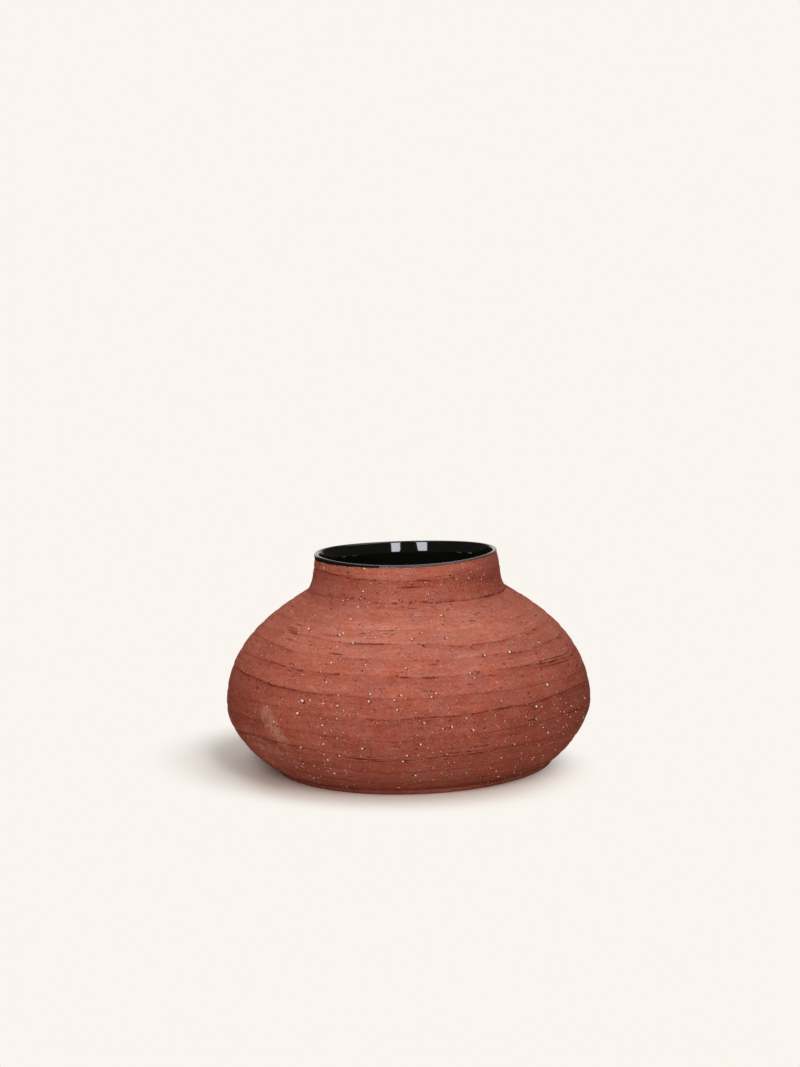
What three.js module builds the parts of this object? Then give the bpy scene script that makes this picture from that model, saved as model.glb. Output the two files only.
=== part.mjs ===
// A low, round terracotta vase. It is built up from rings of clay that stand on a slab, and a black
// glaze lines it, from the floor up and over the lip.
// Millimetres, +Z up. The origin is the middle of the foot, on the surface that the vase stands on,
// and the front of the vase faces -Y.

import * as THREE from 'three';

// The outside, from the foot up
const footRadius = 107.6;
const footChamfer = 2;
const footBand = 3.2;
const footGrooveDepth = 0.6;
const footGrooveHeight = 1;
const bellyRadius = 140;
const bellyHeight = 48.5;
const neckFootRadius = 75.7;
const neckFootHeight = 135.2;
const neckRadius = 71.6;
const neckWaist = 14;
const neckHeight = 26.8;
const mouthRadius = 69.4;

// How far the outline keeps its direction before it bends: out from the foot, below and above the
// widest ring, on the shoulder and up the neck
const footSpread = 9.9;
const footRise = 1.3;
const bellyDrop = 16.4;
const bellyLift = 55;
const shoulderRun = 10.6;
const shoulderSlope = THREE.MathUtils.degToRad(42.4);
const neckSweep = 5.4;

// Clay
const floorThickness = 8;
const slabEdge = 4;
const floorBend = 9;
const wall = 6.5;
const lipWall = 2.4;
const wallRings = 11;
const lipRingHeight = 11;
const seamDepth = 0.5;

// Glaze
const glaze = 0.6;
const glazeFit = 0.05;
const glazeEdge = 0.5;
const glazeRun = 2;
const glazeRunFrom = THREE.MathUtils.degToRad(-90);
const glazeRunTo = THREE.MathUtils.degToRad(-15);

// Steps in which the round shapes are drawn
const turnSteps = 48;
const ringSteps = 3;
const neckSteps = 4;
const bendSteps = 3;
const lipSteps = 4;

const clayMaterial = () => new THREE.MeshStandardMaterial({ color: 0xa4523e, roughness: 0.92, metalness: 0 });
const glazeMaterial = () => new THREE.MeshStandardMaterial({ color: 0x0a0c0a, roughness: 0.08, metalness: 0 });

// The lip is a half round on top of the neck, and the glaze over it reaches the full height
const height = neckFootHeight + neckHeight;
const lipRound = lipWall / 2;
const lipSpring = height - glaze - glazeFit - lipRound;
const neckTopHeight = neckFootHeight + neckWaist;

// Outline of the smooth outside, from the top of the foot's groove to the spring of the lip
const outline = new THREE.Path();
outline.moveTo(footRadius, footBand + footGrooveHeight);
outline.bezierCurveTo(
  footRadius + footSpread, footBand + footGrooveHeight + footRise,
  bellyRadius, bellyHeight - bellyDrop,
  bellyRadius, bellyHeight,
);
outline.bezierCurveTo(
  bellyRadius, bellyHeight + bellyLift,
  neckFootRadius + shoulderRun * Math.cos(shoulderSlope), neckFootHeight - shoulderRun * Math.sin(shoulderSlope),
  neckFootRadius, neckFootHeight,
);
outline.bezierCurveTo(
  neckFootRadius - neckSweep * Math.cos(shoulderSlope) / 2, neckFootHeight + neckSweep * Math.sin(shoulderSlope) / 2,
  neckRadius, neckTopHeight - neckSweep,
  neckRadius, neckTopHeight,
);
outline.lineTo(mouthRadius, lipSpring);

// Share of the outline's length at a height, found by halving
function shareAtHeight(level) {
  let low = 0;
  let high = 1;
  for (let halving = 0; halving < 40; halving += 1) {
    const middle = (low + high) / 2;
    if (outline.getPoint(middle).y < level) low = middle;
    else high = middle;
  }
  return (low + high) / 2;
}

// Where the rings meet: the wall's rings show equal lengths of side between the slab and the neck
const slabShare = shareAtHeight(floorThickness + slabEdge);
const neckFootShare = shareAtHeight(neckFootHeight);
const lipRingShare = shareAtHeight(height - lipRingHeight);
const seamShares = [];
for (let seam = 0; seam <= wallRings; seam += 1) {
  seamShares.push(THREE.MathUtils.lerp(slabShare, neckFootShare, seam / wallRings));
}
seamShares.push(lipRingShare);

// A point of the outside, drawn in square to the surface by the depth of a seam
function outsidePoint(share, inset) {
  const point = outline.getPoint(share);
  const run = outline.getTangent(share);
  return new THREE.Vector2(point.x - run.y * inset, point.y + run.x * inset);
}

const seams = seamShares.map((share) => outsidePoint(share, seamDepth));
const lipRingBase = seams[wallRings + 1].y;

// The inside at a level, moved into the hollow by an offset. The wall keeps its thickness, measured
// square to the surface, up to the last ring, which flares faster and faster to the thin lip.
function insidePoint(level, offset) {
  const share = shareAtHeight(level);
  const run = outline.getTangent(share);
  const climb = Math.max(0, (level - lipRingBase) / (lipSpring - lipRingBase));
  const thickness = THREE.MathUtils.lerp(wall, lipWall, climb ** 2);
  return new THREE.Vector2(outline.getPoint(share).x - (thickness + offset) / run.y, level);
}

// The inside of the last ring, from its seam to just under the spring of the lip
function lipRingInside(offset) {
  const points = [];
  for (let step = 0; step < ringSteps; step += 1) {
    points.push(insidePoint(THREE.MathUtils.lerp(lipRingBase, lipSpring, step / ringSteps), offset));
  }
  return points;
}

// The inside of the floor and the bend into the wall, from the axis to the slab's seam
function floorPoints(offset) {
  const end = insidePoint(seams[0].y, offset);
  const run = outline.getTangent(slabShare);
  const level = floorThickness + offset;
  const corner = new THREE.Vector2(end.x - (end.y - level) * run.x / run.y, level);
  const start = new THREE.Vector2(corner.x - floorBend, level);
  const bend = new THREE.QuadraticBezierCurve(start, corner, end);
  return [new THREE.Vector2(0, level), ...bend.getPoints(bendSteps)];
}

// The half round of the lip, from one side over the top to the other
function lipPoints(radius, fromAngle, toAngle) {
  const arc = new THREE.EllipseCurve(
    mouthRadius - lipRound, lipSpring, radius, radius, fromAngle, toAngle, fromAngle > toAngle,
  );
  return arc.getPoints(lipSteps);
}

// Turns a profile round the axis. The profile runs up the outside and down the inside.
function turned(name, profile, material) {
  const shape = new THREE.LatheGeometry(profile, turnSteps);
  shape.rotateX(Math.PI / 2);
  const mesh = new THREE.Mesh(shape, material);
  mesh.name = name;
  return mesh;
}

// The outside of a ring between two shares of the outline, without its ends
function ringOutside(fromShare, toShare, steps) {
  const points = [];
  for (let step = 1; step < steps; step += 1) {
    points.push(outsidePoint(THREE.MathUtils.lerp(fromShare, toShare, step / steps), 0));
  }
  return points;
}

// A ring of the wall sits flat on the ring below and carries the next one flat on its top
function clayRing(name, index, steps) {
  const low = seams[index];
  const high = seams[index + 1];
  const outside = ringOutside(seamShares[index], seamShares[index + 1], steps);
  const profile = [low, ...outside, high, insidePoint(high.y, 0), insidePoint(low.y, 0), low];
  return turned(name, profile, clayMaterial());
}

// The slab is the floor, with a trimmed band and a groove round its foot and a turned-up edge
function baseSlab() {
  const profile = [
    new THREE.Vector2(0, 0),
    new THREE.Vector2(footRadius - footChamfer, 0),
    new THREE.Vector2(footRadius, footChamfer),
    new THREE.Vector2(footRadius, footBand),
    new THREE.Vector2(footRadius - footGrooveDepth, footBand + footGrooveHeight / 2),
    outline.getPoint(0),
    ...ringOutside(0, slabShare, ringSteps),
    seams[0],
    ...floorPoints(0).reverse(),
  ];
  return turned('base_slab', profile, clayMaterial());
}

// The last ring thins to the half round of the lip
function lipRing() {
  const low = seams[wallRings + 1];
  const profile = [
    low,
    ...ringOutside(lipRingShare, 1, ringSteps),
    ...lipPoints(lipRound, 0, Math.PI),
    ...lipRingInside(0).reverse(),
    low,
  ];
  return turned('lip_coil', profile, clayMaterial());
}

// The inside from the first coil's top to just under the spring of the lip
function wallInside(offset) {
  const levels = seams.slice(1, wallRings + 1).map((seam) => seam.y);
  return [...levels.map((level) => insidePoint(level, offset)), ...lipRingInside(offset)];
}

// The skin of glaze: the side that lies on the clay, over the lip to its edge outside, and the
// open side back down to the floor
function glazeLining() {
  const onClay = wallInside(glazeFit);
  const open = wallInside(glazeFit + glaze).reverse();
  const edgeLevel = lipSpring - glazeEdge;
  const edgeRadius = outline.getPoint(shareAtHeight(edgeLevel)).x + glazeFit;
  const edge = new THREE.Vector2(edgeRadius, edgeLevel);
  const edgeTop = new THREE.Vector2(edgeRadius + glaze, edgeLevel + glazeEdge / 2);
  const before = [
    ...floorPoints(glazeFit),
    ...onClay,
    ...lipPoints(lipRound + glazeFit, Math.PI, 0),
  ];
  const profile = [
    ...before,
    edge,
    edgeTop,
    ...lipPoints(lipRound + glazeFit + glaze, 0, Math.PI),
    ...open,
    ...floorPoints(glazeFit + glaze).reverse(),
  ];
  const mesh = turned('glaze_lining', profile, glazeMaterial());
  runDown(mesh.geometry, profile.length, [before.length, before.length + 1]);
  return mesh;
}

// Lets the edge of the glaze run down the outside of the lip on part of the round, along the clay
function runDown(shape, profileLength, edgeIndices) {
  const places = shape.getAttribute('position');
  const flare = (neckRadius - mouthRadius) / (lipSpring - neckTopHeight);
  for (let turn = 0; turn <= turnSteps; turn += 1) {
    for (const edgeIndex of edgeIndices) {
      const vertex = turn * profileLength + edgeIndex;
      const azimuth = Math.atan2(places.getX(vertex), -places.getY(vertex));
      if (azimuth < glazeRunFrom || azimuth > glazeRunTo) continue;
      const radius = Math.hypot(places.getX(vertex), places.getY(vertex));
      const growth = (radius + glazeRun * flare) / radius;
      places.setXYZ(
        vertex,
        places.getX(vertex) * growth,
        places.getY(vertex) * growth,
        places.getZ(vertex) - glazeRun,
      );
    }
  }
}

const vase = new THREE.Group();
vase.add(baseSlab());
for (let ring = 0; ring < wallRings; ring += 1) {
  vase.add(clayRing(`wall_coil_${String(ring + 1).padStart(2, '0')}`, ring, ringSteps));
}
vase.add(clayRing('neck_coil', wallRings, neckSteps));
vase.add(lipRing());
vase.add(glazeLining());

export default vase;
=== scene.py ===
"""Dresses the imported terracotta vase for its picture.

Sizes are millimetres and become metres in the meshes. +Z is up, the foot stands on z = 0 and the
front faces -Y. An azimuth is measured in degrees from the front, positive to the right. A run is
the length along the outside of the pot, measured up from the groove of the foot.
"""

import logging
import math
from collections.abc import Callable, Sequence
from dataclasses import dataclass
from enum import Enum
from functools import cached_property
from typing import Any

import bpy
import numpy as np
from mathutils import Matrix, Vector


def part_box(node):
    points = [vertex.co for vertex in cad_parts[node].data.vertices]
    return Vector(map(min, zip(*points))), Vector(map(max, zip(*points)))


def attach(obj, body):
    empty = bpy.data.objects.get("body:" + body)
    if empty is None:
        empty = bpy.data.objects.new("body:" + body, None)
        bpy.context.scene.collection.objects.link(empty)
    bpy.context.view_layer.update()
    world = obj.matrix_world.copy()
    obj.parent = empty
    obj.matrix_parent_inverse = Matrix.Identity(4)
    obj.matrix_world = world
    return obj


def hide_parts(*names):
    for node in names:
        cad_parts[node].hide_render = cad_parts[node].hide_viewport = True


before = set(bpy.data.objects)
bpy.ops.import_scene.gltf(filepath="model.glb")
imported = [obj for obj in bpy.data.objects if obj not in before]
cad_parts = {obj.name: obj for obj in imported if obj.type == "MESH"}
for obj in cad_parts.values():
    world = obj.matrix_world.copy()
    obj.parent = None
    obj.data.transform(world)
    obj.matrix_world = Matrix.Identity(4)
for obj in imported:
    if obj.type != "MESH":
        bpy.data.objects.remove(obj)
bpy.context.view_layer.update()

MM = 0.001
COLUMNS = 1024
WALL_COILS = [f"wall_coil_{ring:02d}" for ring in range(1, 12)]
CLAY_NODES = ["base_slab", *WALL_COILS, "neck_coil", "lip_coil"]
log = logging.getLogger("vase")

Pixel = tuple[float, float]
Reading = tuple[float, float, float]
Spot = tuple[float, float]
Range = tuple[float, float]
Triple = tuple[float, float, float]
Colour = tuple[float, float, float, float]
Level = float | np.ndarray
Given = dict[Any, Any] | None


def node_span(name: str) -> Range:
    """The lowest and the highest z of a CAD node, in millimetres."""
    low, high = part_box(name)
    return low[2] / MM, high[2] / MM


def smooth(value: np.ndarray) -> np.ndarray:
    """Eases a value that runs from 0 to 1, and holds it there beyond."""
    eased = np.clip(value, 0.0, 1.0)
    return eased * eased * (3.0 - 2.0 * eased)


def around(azimuths: np.ndarray, centre: float) -> np.ndarray:
    """Azimuths measured from a centre, between -180 and 180 degrees."""
    return (azimuths - centre + 180.0) % 360.0 - 180.0


def azimuth_columns(count: int) -> np.ndarray:
    """The azimuths of evenly spaced columns, from -180 degrees."""
    return np.arange(count) * 360.0 / count - 180.0


def linear(red: float, green: float, blue: float) -> Colour:
    """A colour as Blender's nodes hold it.

    Args:
        red: Red as it is read from the photograph, in sRGB from 0 to 255.
        green: Green, as red.
        blue: Blue, as red.

    Returns:
        Linear red, green, blue and an alpha of 1.
    """
    parts = []
    for part in (red, green, blue):
        share = part / 255.0
        parts.append(share / 12.92 if share <= 0.04045 else ((share + 0.055) / 1.055) ** 2.4)
    return parts[0], parts[1], parts[2], 1.0


def add_object(name: str, data: bpy.types.ID) -> bpy.types.Object:
    """Puts an object with its data into the scene, at the origin.

    Args:
        name: Its name.
        data: Its mesh, lamp or camera.

    Returns:
        The object.
    """
    piece = bpy.data.objects.new(name, data)
    bpy.context.scene.collection.objects.link(piece)
    return piece


@dataclass(frozen=True)
class Ripple:
    """A wandering line that closes on itself round the pot, with its height and kinds of waves."""

    height: float
    waves: range
    seed: int

    def line(self, azimuths: np.ndarray, index: int = 0) -> np.ndarray:
        """The line.

        Args:
            azimuths: Where the line is wanted, in degrees.
            index: Its number, where several such lines are drawn.

        Returns:
            How far the line lies off at each azimuth.
        """
        rng = np.random.default_rng(self.seed + index)
        line = np.zeros_like(azimuths, dtype=float)
        for wave in self.waves:
            height, place = rng.normal(), rng.uniform(0.0, math.tau)
            line += height * np.cos(np.radians(azimuths) * wave + place)
        return self.height * (line / math.sqrt(2.0 * len(self.waves)))


@dataclass(frozen=True)
class Outline:
    """The pot as it is turned round its axis, with the part's own sizes."""

    foot_radius: float = 107.6
    foot_chamfer: float = 2.0
    foot_band: float = 3.2
    foot_groove_depth: float = 0.6
    foot_groove_height: float = 1.0
    belly_radius: float = 140.0
    belly_height: float = 48.5
    neck_foot_radius: float = 75.7
    neck_foot_height: float = 135.2
    neck_radius: float = 71.6
    neck_waist: float = 14.0
    mouth_radius: float = 69.4
    foot_spread: float = 9.9
    foot_rise: float = 1.3
    belly_drop: float = 16.4
    belly_lift: float = 55.0
    shoulder_run: float = 10.6
    shoulder_slope: float = 42.4
    neck_sweep: float = 5.4
    floor_thickness: float = 8.0
    floor_bend: float = 9.0
    wall: float = 6.5
    lip_wall: float = 2.4
    glaze: float = 0.6
    glaze_fit: float = 0.05
    curve_steps: int = 240
    coil_steps: int = 3
    lip_steps: int = 2
    bend_steps: int = 12
    floor_rings: tuple[float, ...] = (0.25, 0.5, 0.75)

    @cached_property
    def height(self) -> float:
        """The full height, over the glaze on the lip."""
        return node_span("glaze_lining")[1]

    @cached_property
    def lip_round(self) -> float:
        """The radius of the half round lip."""
        return self.lip_wall / 2.0

    @cached_property
    def lip_middle(self) -> float:
        """How far the middle of the lip lies from the axis."""
        return self.mouth_radius - self.lip_round

    @cached_property
    def lip_spring(self) -> float:
        """Where the half round of the lip springs from the wall."""
        return self.height - self.glaze - self.glaze_fit - self.lip_round

    @cached_property
    def slab_level(self) -> float:
        """Where the first coil sits on the slab, inside."""
        return node_span(WALL_COILS[0])[0]

    @cached_property
    def lip_ring_base(self) -> float:
        """Where the lip's coil begins, and the inside begins to flare."""
        return node_span("lip_coil")[0]

    def bezier(self, *corners: Spot) -> np.ndarray:
        """A curve from the first corner to the last, drawn towards the ones between.

        Args:
            corners: Each a radius and a height.

        Returns:
            The curve's points, one to a row.
        """
        share = np.linspace(0.0, 1.0, self.curve_steps)[:, None]
        points = [np.array(corner) * np.ones_like(share) for corner in corners]
        while len(points) > 1:
            points = [low * (1.0 - share) + high * share for low, high in zip(points, points[1:])]
        return points[0]

    @cached_property
    def path(self) -> np.ndarray:
        """Radius and height along the smooth outside, from the foot's groove to the lip."""
        slope = math.radians(self.shoulder_slope)
        run, half_sweep = self.shoulder_run, self.neck_sweep / 2.0
        foot = self.foot_radius, self.foot_band + self.foot_groove_height
        spread = foot[0] + self.foot_spread, foot[1] + self.foot_rise
        belly = self.belly_radius, self.belly_height
        dropped, lifted = belly[1] - self.belly_drop, belly[1] + self.belly_lift
        radius, height = self.neck_foot_radius, self.neck_foot_height
        before = radius + run * math.cos(slope), height - run * math.sin(slope)
        after = radius - half_sweep * math.cos(slope), height + half_sweep * math.sin(slope)
        neck = self.neck_radius, height + self.neck_waist
        parts = (
            self.bezier(foot, spread, (belly[0], dropped), belly),
            self.bezier(belly, (belly[0], lifted), before, (radius, height)),
            self.bezier((radius, height), after, (neck[0], neck[1] - self.neck_sweep), neck),
            self.bezier(neck, (self.mouth_radius, self.lip_spring)),
        )
        return np.concatenate([parts[0], *(part[1:] for part in parts[1:])])

    @cached_property
    def runs(self) -> np.ndarray:
        """The run at each point of the path."""
        return np.concatenate([[0.0], np.cumsum(np.hypot(*np.diff(self.path, axis=0).T))])

    @cached_property
    def slopes(self) -> np.ndarray:
        """The path's direction at each of its points, as a change of radius and of height."""
        return np.gradient(self.path, self.runs, axis=0)

    def run_at(self, heights: Level) -> np.ndarray:
        """The run at some heights."""
        return np.interp(heights, self.path[:, 1], self.runs)

    def radius_at(self, heights: Level) -> np.ndarray:
        """The outside radius at some heights."""
        return np.interp(heights, self.path[:, 1], self.path[:, 0])

    def slope_at(self, level: float) -> Spot:
        """The path's direction at a height, as a change of radius and of height."""
        return tuple(float(np.interp(level, self.path[:, 1], part)) for part in self.slopes.T)

    def place(self, runs: Level) -> tuple[np.ndarray, np.ndarray]:
        """The radius and the height at some runs."""
        return tuple(np.interp(runs, self.runs, part) for part in self.path.T)

    def outward(self, runs: np.ndarray) -> tuple[np.ndarray, np.ndarray]:
        """The direction square to the outside at some runs, as a radius and a height.

        Args:
            runs: Where the direction is wanted.

        Returns:
            How far it leads outwards, and how far up.
        """
        along, climb = (np.interp(runs, self.runs, part) for part in self.slopes.T)
        length = np.hypot(along, climb)
        return climb / length, -along / length

    def lie(self, azimuth: float, run: float) -> Triple:
        """A place of the outside in the clay's own coordinates: across, back and the run."""
        radius, angle = float(self.place(run)[0]), math.radians(azimuth)
        return radius * math.sin(angle), -radius * math.cos(angle), float(run)

    def inside(self, level: float, offset: float) -> Spot:
        """The inside of the wall.

        Args:
            level: The height.
            offset: How far the point is moved into the hollow.

        Returns:
            The radius and the height.
        """
        span = self.lip_spring - self.lip_ring_base
        climb_share = max(0.0, (level - self.lip_ring_base) / span)
        thickness = self.wall + (self.lip_wall - self.wall) * climb_share**2
        return float(self.radius_at(level)) - (thickness + offset) / self.slope_at(level)[1], level

    def coil_inside(self, node: str, offset: float) -> list[Spot]:
        """The inside of one coil from its foot to its top, or to the spring of the lip.

        Args:
            node: The coil's CAD node.
            offset: How far the points are moved into the hollow.

        Returns:
            The radius and the height of each point.
        """
        low, high = node_span(node)
        is_lip = node == "lip_coil"
        end, steps = (self.lip_spring, self.lip_steps) if is_lip else (high, self.coil_steps)
        return [self.inside(float(level), offset) for level in np.linspace(low, end, steps + 1)]

    def floor_inside(self, offset: float) -> list[Spot]:
        """The floor and the bend into the wall, from near the axis to the slab's seam.

        Args:
            offset: How far the points are moved into the hollow.

        Returns:
            The radius and the height of each point.
        """
        end = self.inside(self.slab_level, offset)
        lean_in, climb = self.slope_at(self.slab_level)
        level = self.floor_thickness + offset
        corner = (end[0] - (end[1] - level) * lean_in / climb, level)
        start = (corner[0] - self.floor_bend, level)
        points = [(start[0] * share, level) for share in self.floor_rings]
        for share in np.linspace(0.0, 1.0, self.bend_steps + 1):
            pulls = (1 - share) ** 2, 2 * share * (1 - share), share**2
            spots = zip(start, corner, end)
            points.append(tuple(sum(p * part for p, part in zip(pulls, spot)) for spot in spots))
        return points

    def over_lip(self, steps: int) -> list[Spot]:
        """The half round of the clay's lip, from the outside over the top to the inside.

        Args:
            steps: How many steps the half round has.

        Returns:
            The radius and the height of each point.
        """
        points = []
        for angle in np.radians(np.linspace(0.0, 180.0, steps + 1)):
            radius = self.lip_middle + self.lip_round * math.cos(angle)
            points.append((radius, self.lip_spring + self.lip_round * math.sin(angle)))
        return points


@dataclass(frozen=True)
class Lean:
    """How far the rings of the finished pot sit off its axis, read at both of its edges."""

    heights: tuple[float, ...] = (0.0, 20.0, 49.0, 75.0, 97.0, 120.0, 138.0, 162.0)
    shifts: tuple[float, ...] = (2.3, 0.4, -0.7, -1.1, -1.6, -0.85, 0.35, 0.65)
    tilt: float = -0.0069
    order: int = 6
    rim_radius: float = 70.0
    rim_lift: float = 1.9
    rim_from: float = 138.0

    @cached_property
    def curve(self) -> np.ndarray:
        """The shifts as a smooth function of the share of the height."""
        return np.polyfit(np.array(self.heights) / self.heights[-1], self.shifts, self.order)

    def shift(self, heights: np.ndarray) -> np.ndarray:
        """How far the ring at a height sits to the right."""
        return np.polyval(self.curve, heights / self.heights[-1])

    def rise(self, across: np.ndarray, heights: np.ndarray) -> np.ndarray:
        """How far points rise: all rings tilt a little, and the rim bends up at its sides.

        Args:
            across: How far right the points lie.
            heights: How high they lie.

        Returns:
            How far up each point moves.
        """
        climb = (heights - self.rim_from) / (self.heights[-1] - self.rim_from)
        bend = self.rim_lift * (across / self.rim_radius) ** 2 * np.clip(climb, 0.0, 1.0) ** 2
        return self.tilt * across * heights / self.heights[-1] + bend

    def lean(self, points: np.ndarray) -> np.ndarray:
        """Turned points in the places where the finished pot has them.

        Args:
            points: Points, one to a row.

        Returns:
            The moved points.
        """
        moved = points.copy()
        moved[..., 2] += self.rise(points[..., 0], points[..., 2])
        moved[..., 0] += self.shift(points[..., 2])
        return moved

    def straighten(self, points: np.ndarray) -> np.ndarray:
        """Points of the finished pot in their places on the turned one.

        Args:
            points: Points, one to a row.

        Returns:
            The moved points.
        """
        moved = points.copy()
        moved[..., 0] -= self.shift(points[..., 2])
        moved[..., 2] -= self.rise(points[..., 0], points[..., 2])
        return moved


@dataclass(frozen=True)
class PhotoCamera:
    """The camera at the photograph's viewing angle, and where a pixel of it lies on the pot."""

    outline: Outline
    lean: Lean
    width_px: int = 800
    height_px: int = 1067
    focal_px: float = 1977.0
    across: float = -3.0
    distance: float = 1500.0
    height: float = 368.7
    pitch: float = 7.29
    roll: float = -2.01
    sensor: float = 36.0
    clips: Range = (0.05, 60.0)
    search_radius: float = 182.0
    search_steps: int = 400
    halvings: int = 30

    @cached_property
    def axes(self) -> tuple[np.ndarray, np.ndarray, np.ndarray]:
        """The camera's right, up and forward directions."""
        pitch, roll = math.radians(self.pitch), math.radians(self.roll)
        level = np.array([1.0, 0.0, 0.0])
        upright = np.array([0.0, math.sin(pitch), math.cos(pitch)])
        forward = np.array([0.0, math.cos(pitch), -math.sin(pitch)])
        right = level * math.cos(roll) + upright * math.sin(roll)
        up = upright * math.cos(roll) - level * math.sin(roll)
        return right, up, forward

    @cached_property
    def position(self) -> np.ndarray:
        """Where the camera stands, in millimetres."""
        return np.array([self.across, -self.distance, self.height])

    def rays(self, pixels: Sequence[Pixel]) -> np.ndarray:
        """The direction in which each pixel looks, one step of it being 1 mm deep.

        Args:
            pixels: Places in the photograph.

        Returns:
            A direction for each pixel, one to a row.
        """
        right, up, forward = self.axes
        spots = np.array(pixels, dtype=float)
        aside = (spots[:, 0] - self.width_px / 2.0) / self.focal_px
        above = (self.height_px / 2.0 - spots[:, 1]) / self.focal_px
        return forward + aside[:, None] * right + above[:, None] * up

    def clearance(self, rays: np.ndarray, depths: np.ndarray) -> np.ndarray:
        """How far points along rays are outside the pot."""
        spots = self.lean.straighten(self.position + rays[None] * depths[..., None])
        return np.hypot(spots[..., 0], spots[..., 1]) - self.outline.radius_at(spots[..., 2])

    def find(self, pixels: Sequence[Pixel]) -> tuple[np.ndarray, np.ndarray]:
        """Where pixels lie on the outside of the pot.

        Args:
            pixels: Places in the photograph.

        Returns:
            The azimuth and the run of each place. One just off the pot's edge counts as on it.
        """
        rays = self.rays(pixels)
        near = np.full(len(rays), self.distance - self.search_radius)
        far = np.full(len(rays), self.distance)
        depths = near + (far - near) * np.linspace(0.0, 1.0, self.search_steps)[:, None]
        clear = self.clearance(rays, depths)
        is_past = (clear > 0.0).all(axis=0)
        met = np.where(is_past, np.argmin(clear, axis=0), np.argmax(clear <= 0.0, axis=0))
        order = np.arange(len(rays))
        low, high = depths[np.maximum(met - 1, 0), order], depths[met, order]
        for _ in range(self.halvings):
            middle = (low + high) / 2.0
            is_clear = self.clearance(rays, middle[None])[0] > 0.0
            low, high = np.where(is_clear, middle, low), np.where(is_clear, high, middle)
        spots = self.lean.straighten(self.position + rays * low[:, None])
        azimuths = np.degrees(np.arctan2(spots[:, 0], -spots[:, 1]))
        return azimuths, self.outline.run_at(spots[:, 2])

    def lies(self, pixels: Sequence[Pixel]) -> list[Vector]:
        """Where pixels lie in the clay's own coordinates, in metres."""
        return [Vector(self.outline.lie(*place)) * MM for place in zip(*self.find(pixels))]

    def place(self) -> None:
        """Puts the camera into the scene."""
        right, up, forward = self.axes
        columns = [*zip(right, up, -forward, self.position * MM), (0.0, 0.0, 0.0, 1.0)]
        data = bpy.data.cameras.new("photo_camera")
        data.sensor_width = self.sensor
        data.lens = self.focal_px * self.sensor / self.height_px
        data.clip_start, data.clip_end = self.clips
        camera = add_object("photo_camera", data)
        camera.matrix_world = Matrix([[float(part) for part in row] for row in columns])
        bpy.context.scene.camera = camera


@dataclass(frozen=True)
class Seam:
    """The line along which a coil of clay sits on the one below it.

    Its depth is quiet where the photograph doesn't show it. The shares over and under say how much
    painted light the clay takes above the line, and how much painted shade below it; a share below
    0 turns the painted light above into painted shade.
    """

    above: str
    seen: tuple[Reading, ...] = ()
    quiet: float = 0.35
    over: float = 1.0
    under: float = 1.0

    @property
    def level(self) -> float:
        """The height of the seam in the part."""
        return node_span(self.above)[0]


# Where the seams show in the photograph, from the left to the right: pixel across, pixel down, and
# how deep the line looks, from 0 to 1
LIP_SEAM = (
    (322.5, 571, 0.9), (345, 576.5, 0.8), (370, 580.6, 0.75), (400, 582, 0.4), (440, 579.5, 0.6),
    (465, 576, 0.45), (480, 573, 0.3),
)
NECK_SEAM = (
    (335, 597.5, 0.5), (355, 599.5, 0.5), (375, 603, 0.6), (400, 603, 0.6), (427.5, 602.5, 0.6),
    (455, 601, 0.9), (480, 597.5, 0.9), (502.5, 591, 1.0),
)
FIRST_SHOULDER_SEAM = (
    (308.8, 633.8, 0.4), (327.5, 640, 0.5), (352.5, 643, 0.7), (375, 644, 0.8), (400, 643.8, 0.4),
    (435, 643.8, 0.25), (455, 645.8, 0.5), (480, 643.8, 0.9), (505, 639, 0.8), (522.5, 633.8, 0.45),
    (531, 630.3, 0.4),
)
SECOND_SHOULDER_SEAM = (
    (262.5, 637.5, 0.4), (280, 646, 0.55), (290, 650.5, 0.6), (304, 652.6, 0.4), (320, 654, 0.35),
    (355, 658.8, 0.6), (387.5, 659.5, 0.3), (440, 658.8, 0.25), (490, 655, 0.5), (527.5, 650, 0.6),
    (550, 641, 0.7), (562, 634, 0.6),
)
THIRD_SHOULDER_SEAM = (
    (244, 651.5, 0.5), (262.5, 658.6, 0.65), (280, 664.2, 0.9), (297.5, 670, 0.5), (315, 672, 0.6),
    (340, 673.8, 0.7), (375, 675, 0.35), (407.5, 677, 0.6), (435, 677, 0.6), (465, 675, 0.4),
    (480, 672, 0.5), (505, 668.8, 0.6), (535, 664.5, 0.9), (555, 660, 1.0), (570, 656, 0.8),
)
BELLY_SEAM = (
    (240, 670, 0.9), (260, 680, 1.0), (280, 687, 1.0), (300, 691, 0.9), (320, 694.5, 0.7),
    (345, 696, 0.6), (365, 697.5, 0.5), (395, 698, 0.35), (427, 698, 0.3), (455, 696, 0.35),
    (480, 693, 0.6), (510, 690, 0.6), (540, 684, 0.4), (570, 677.5, 0.5),
)
BELLY_CRACK_SEAM = (
    (253, 700.8, 0.12), (284, 709.6, 0.12), (325, 716.2, 0.2), (350, 719, 0.35), (376, 720, 0.6),
    (406, 720, 0.65), (424, 718, 0.75), (444, 717, 0.75), (465, 715, 0.75), (503, 708.5, 0.75),
    (537.5, 701.5, 0.8), (568, 690, 0.8),
)
LOW_SEAM = (
    (233, 727, 0.8), (255, 735, 1.0), (278, 743, 1.0), (300, 747.5, 0.8), (322.5, 752.5, 0.4),
    (340, 756, 0.4), (359, 760.6, 0.6), (400, 762, 0.6), (420, 761, 0.5), (430, 758.4, 0.6),
    (465, 755.4, 0.7), (503, 749, 0.6),
)


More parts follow.
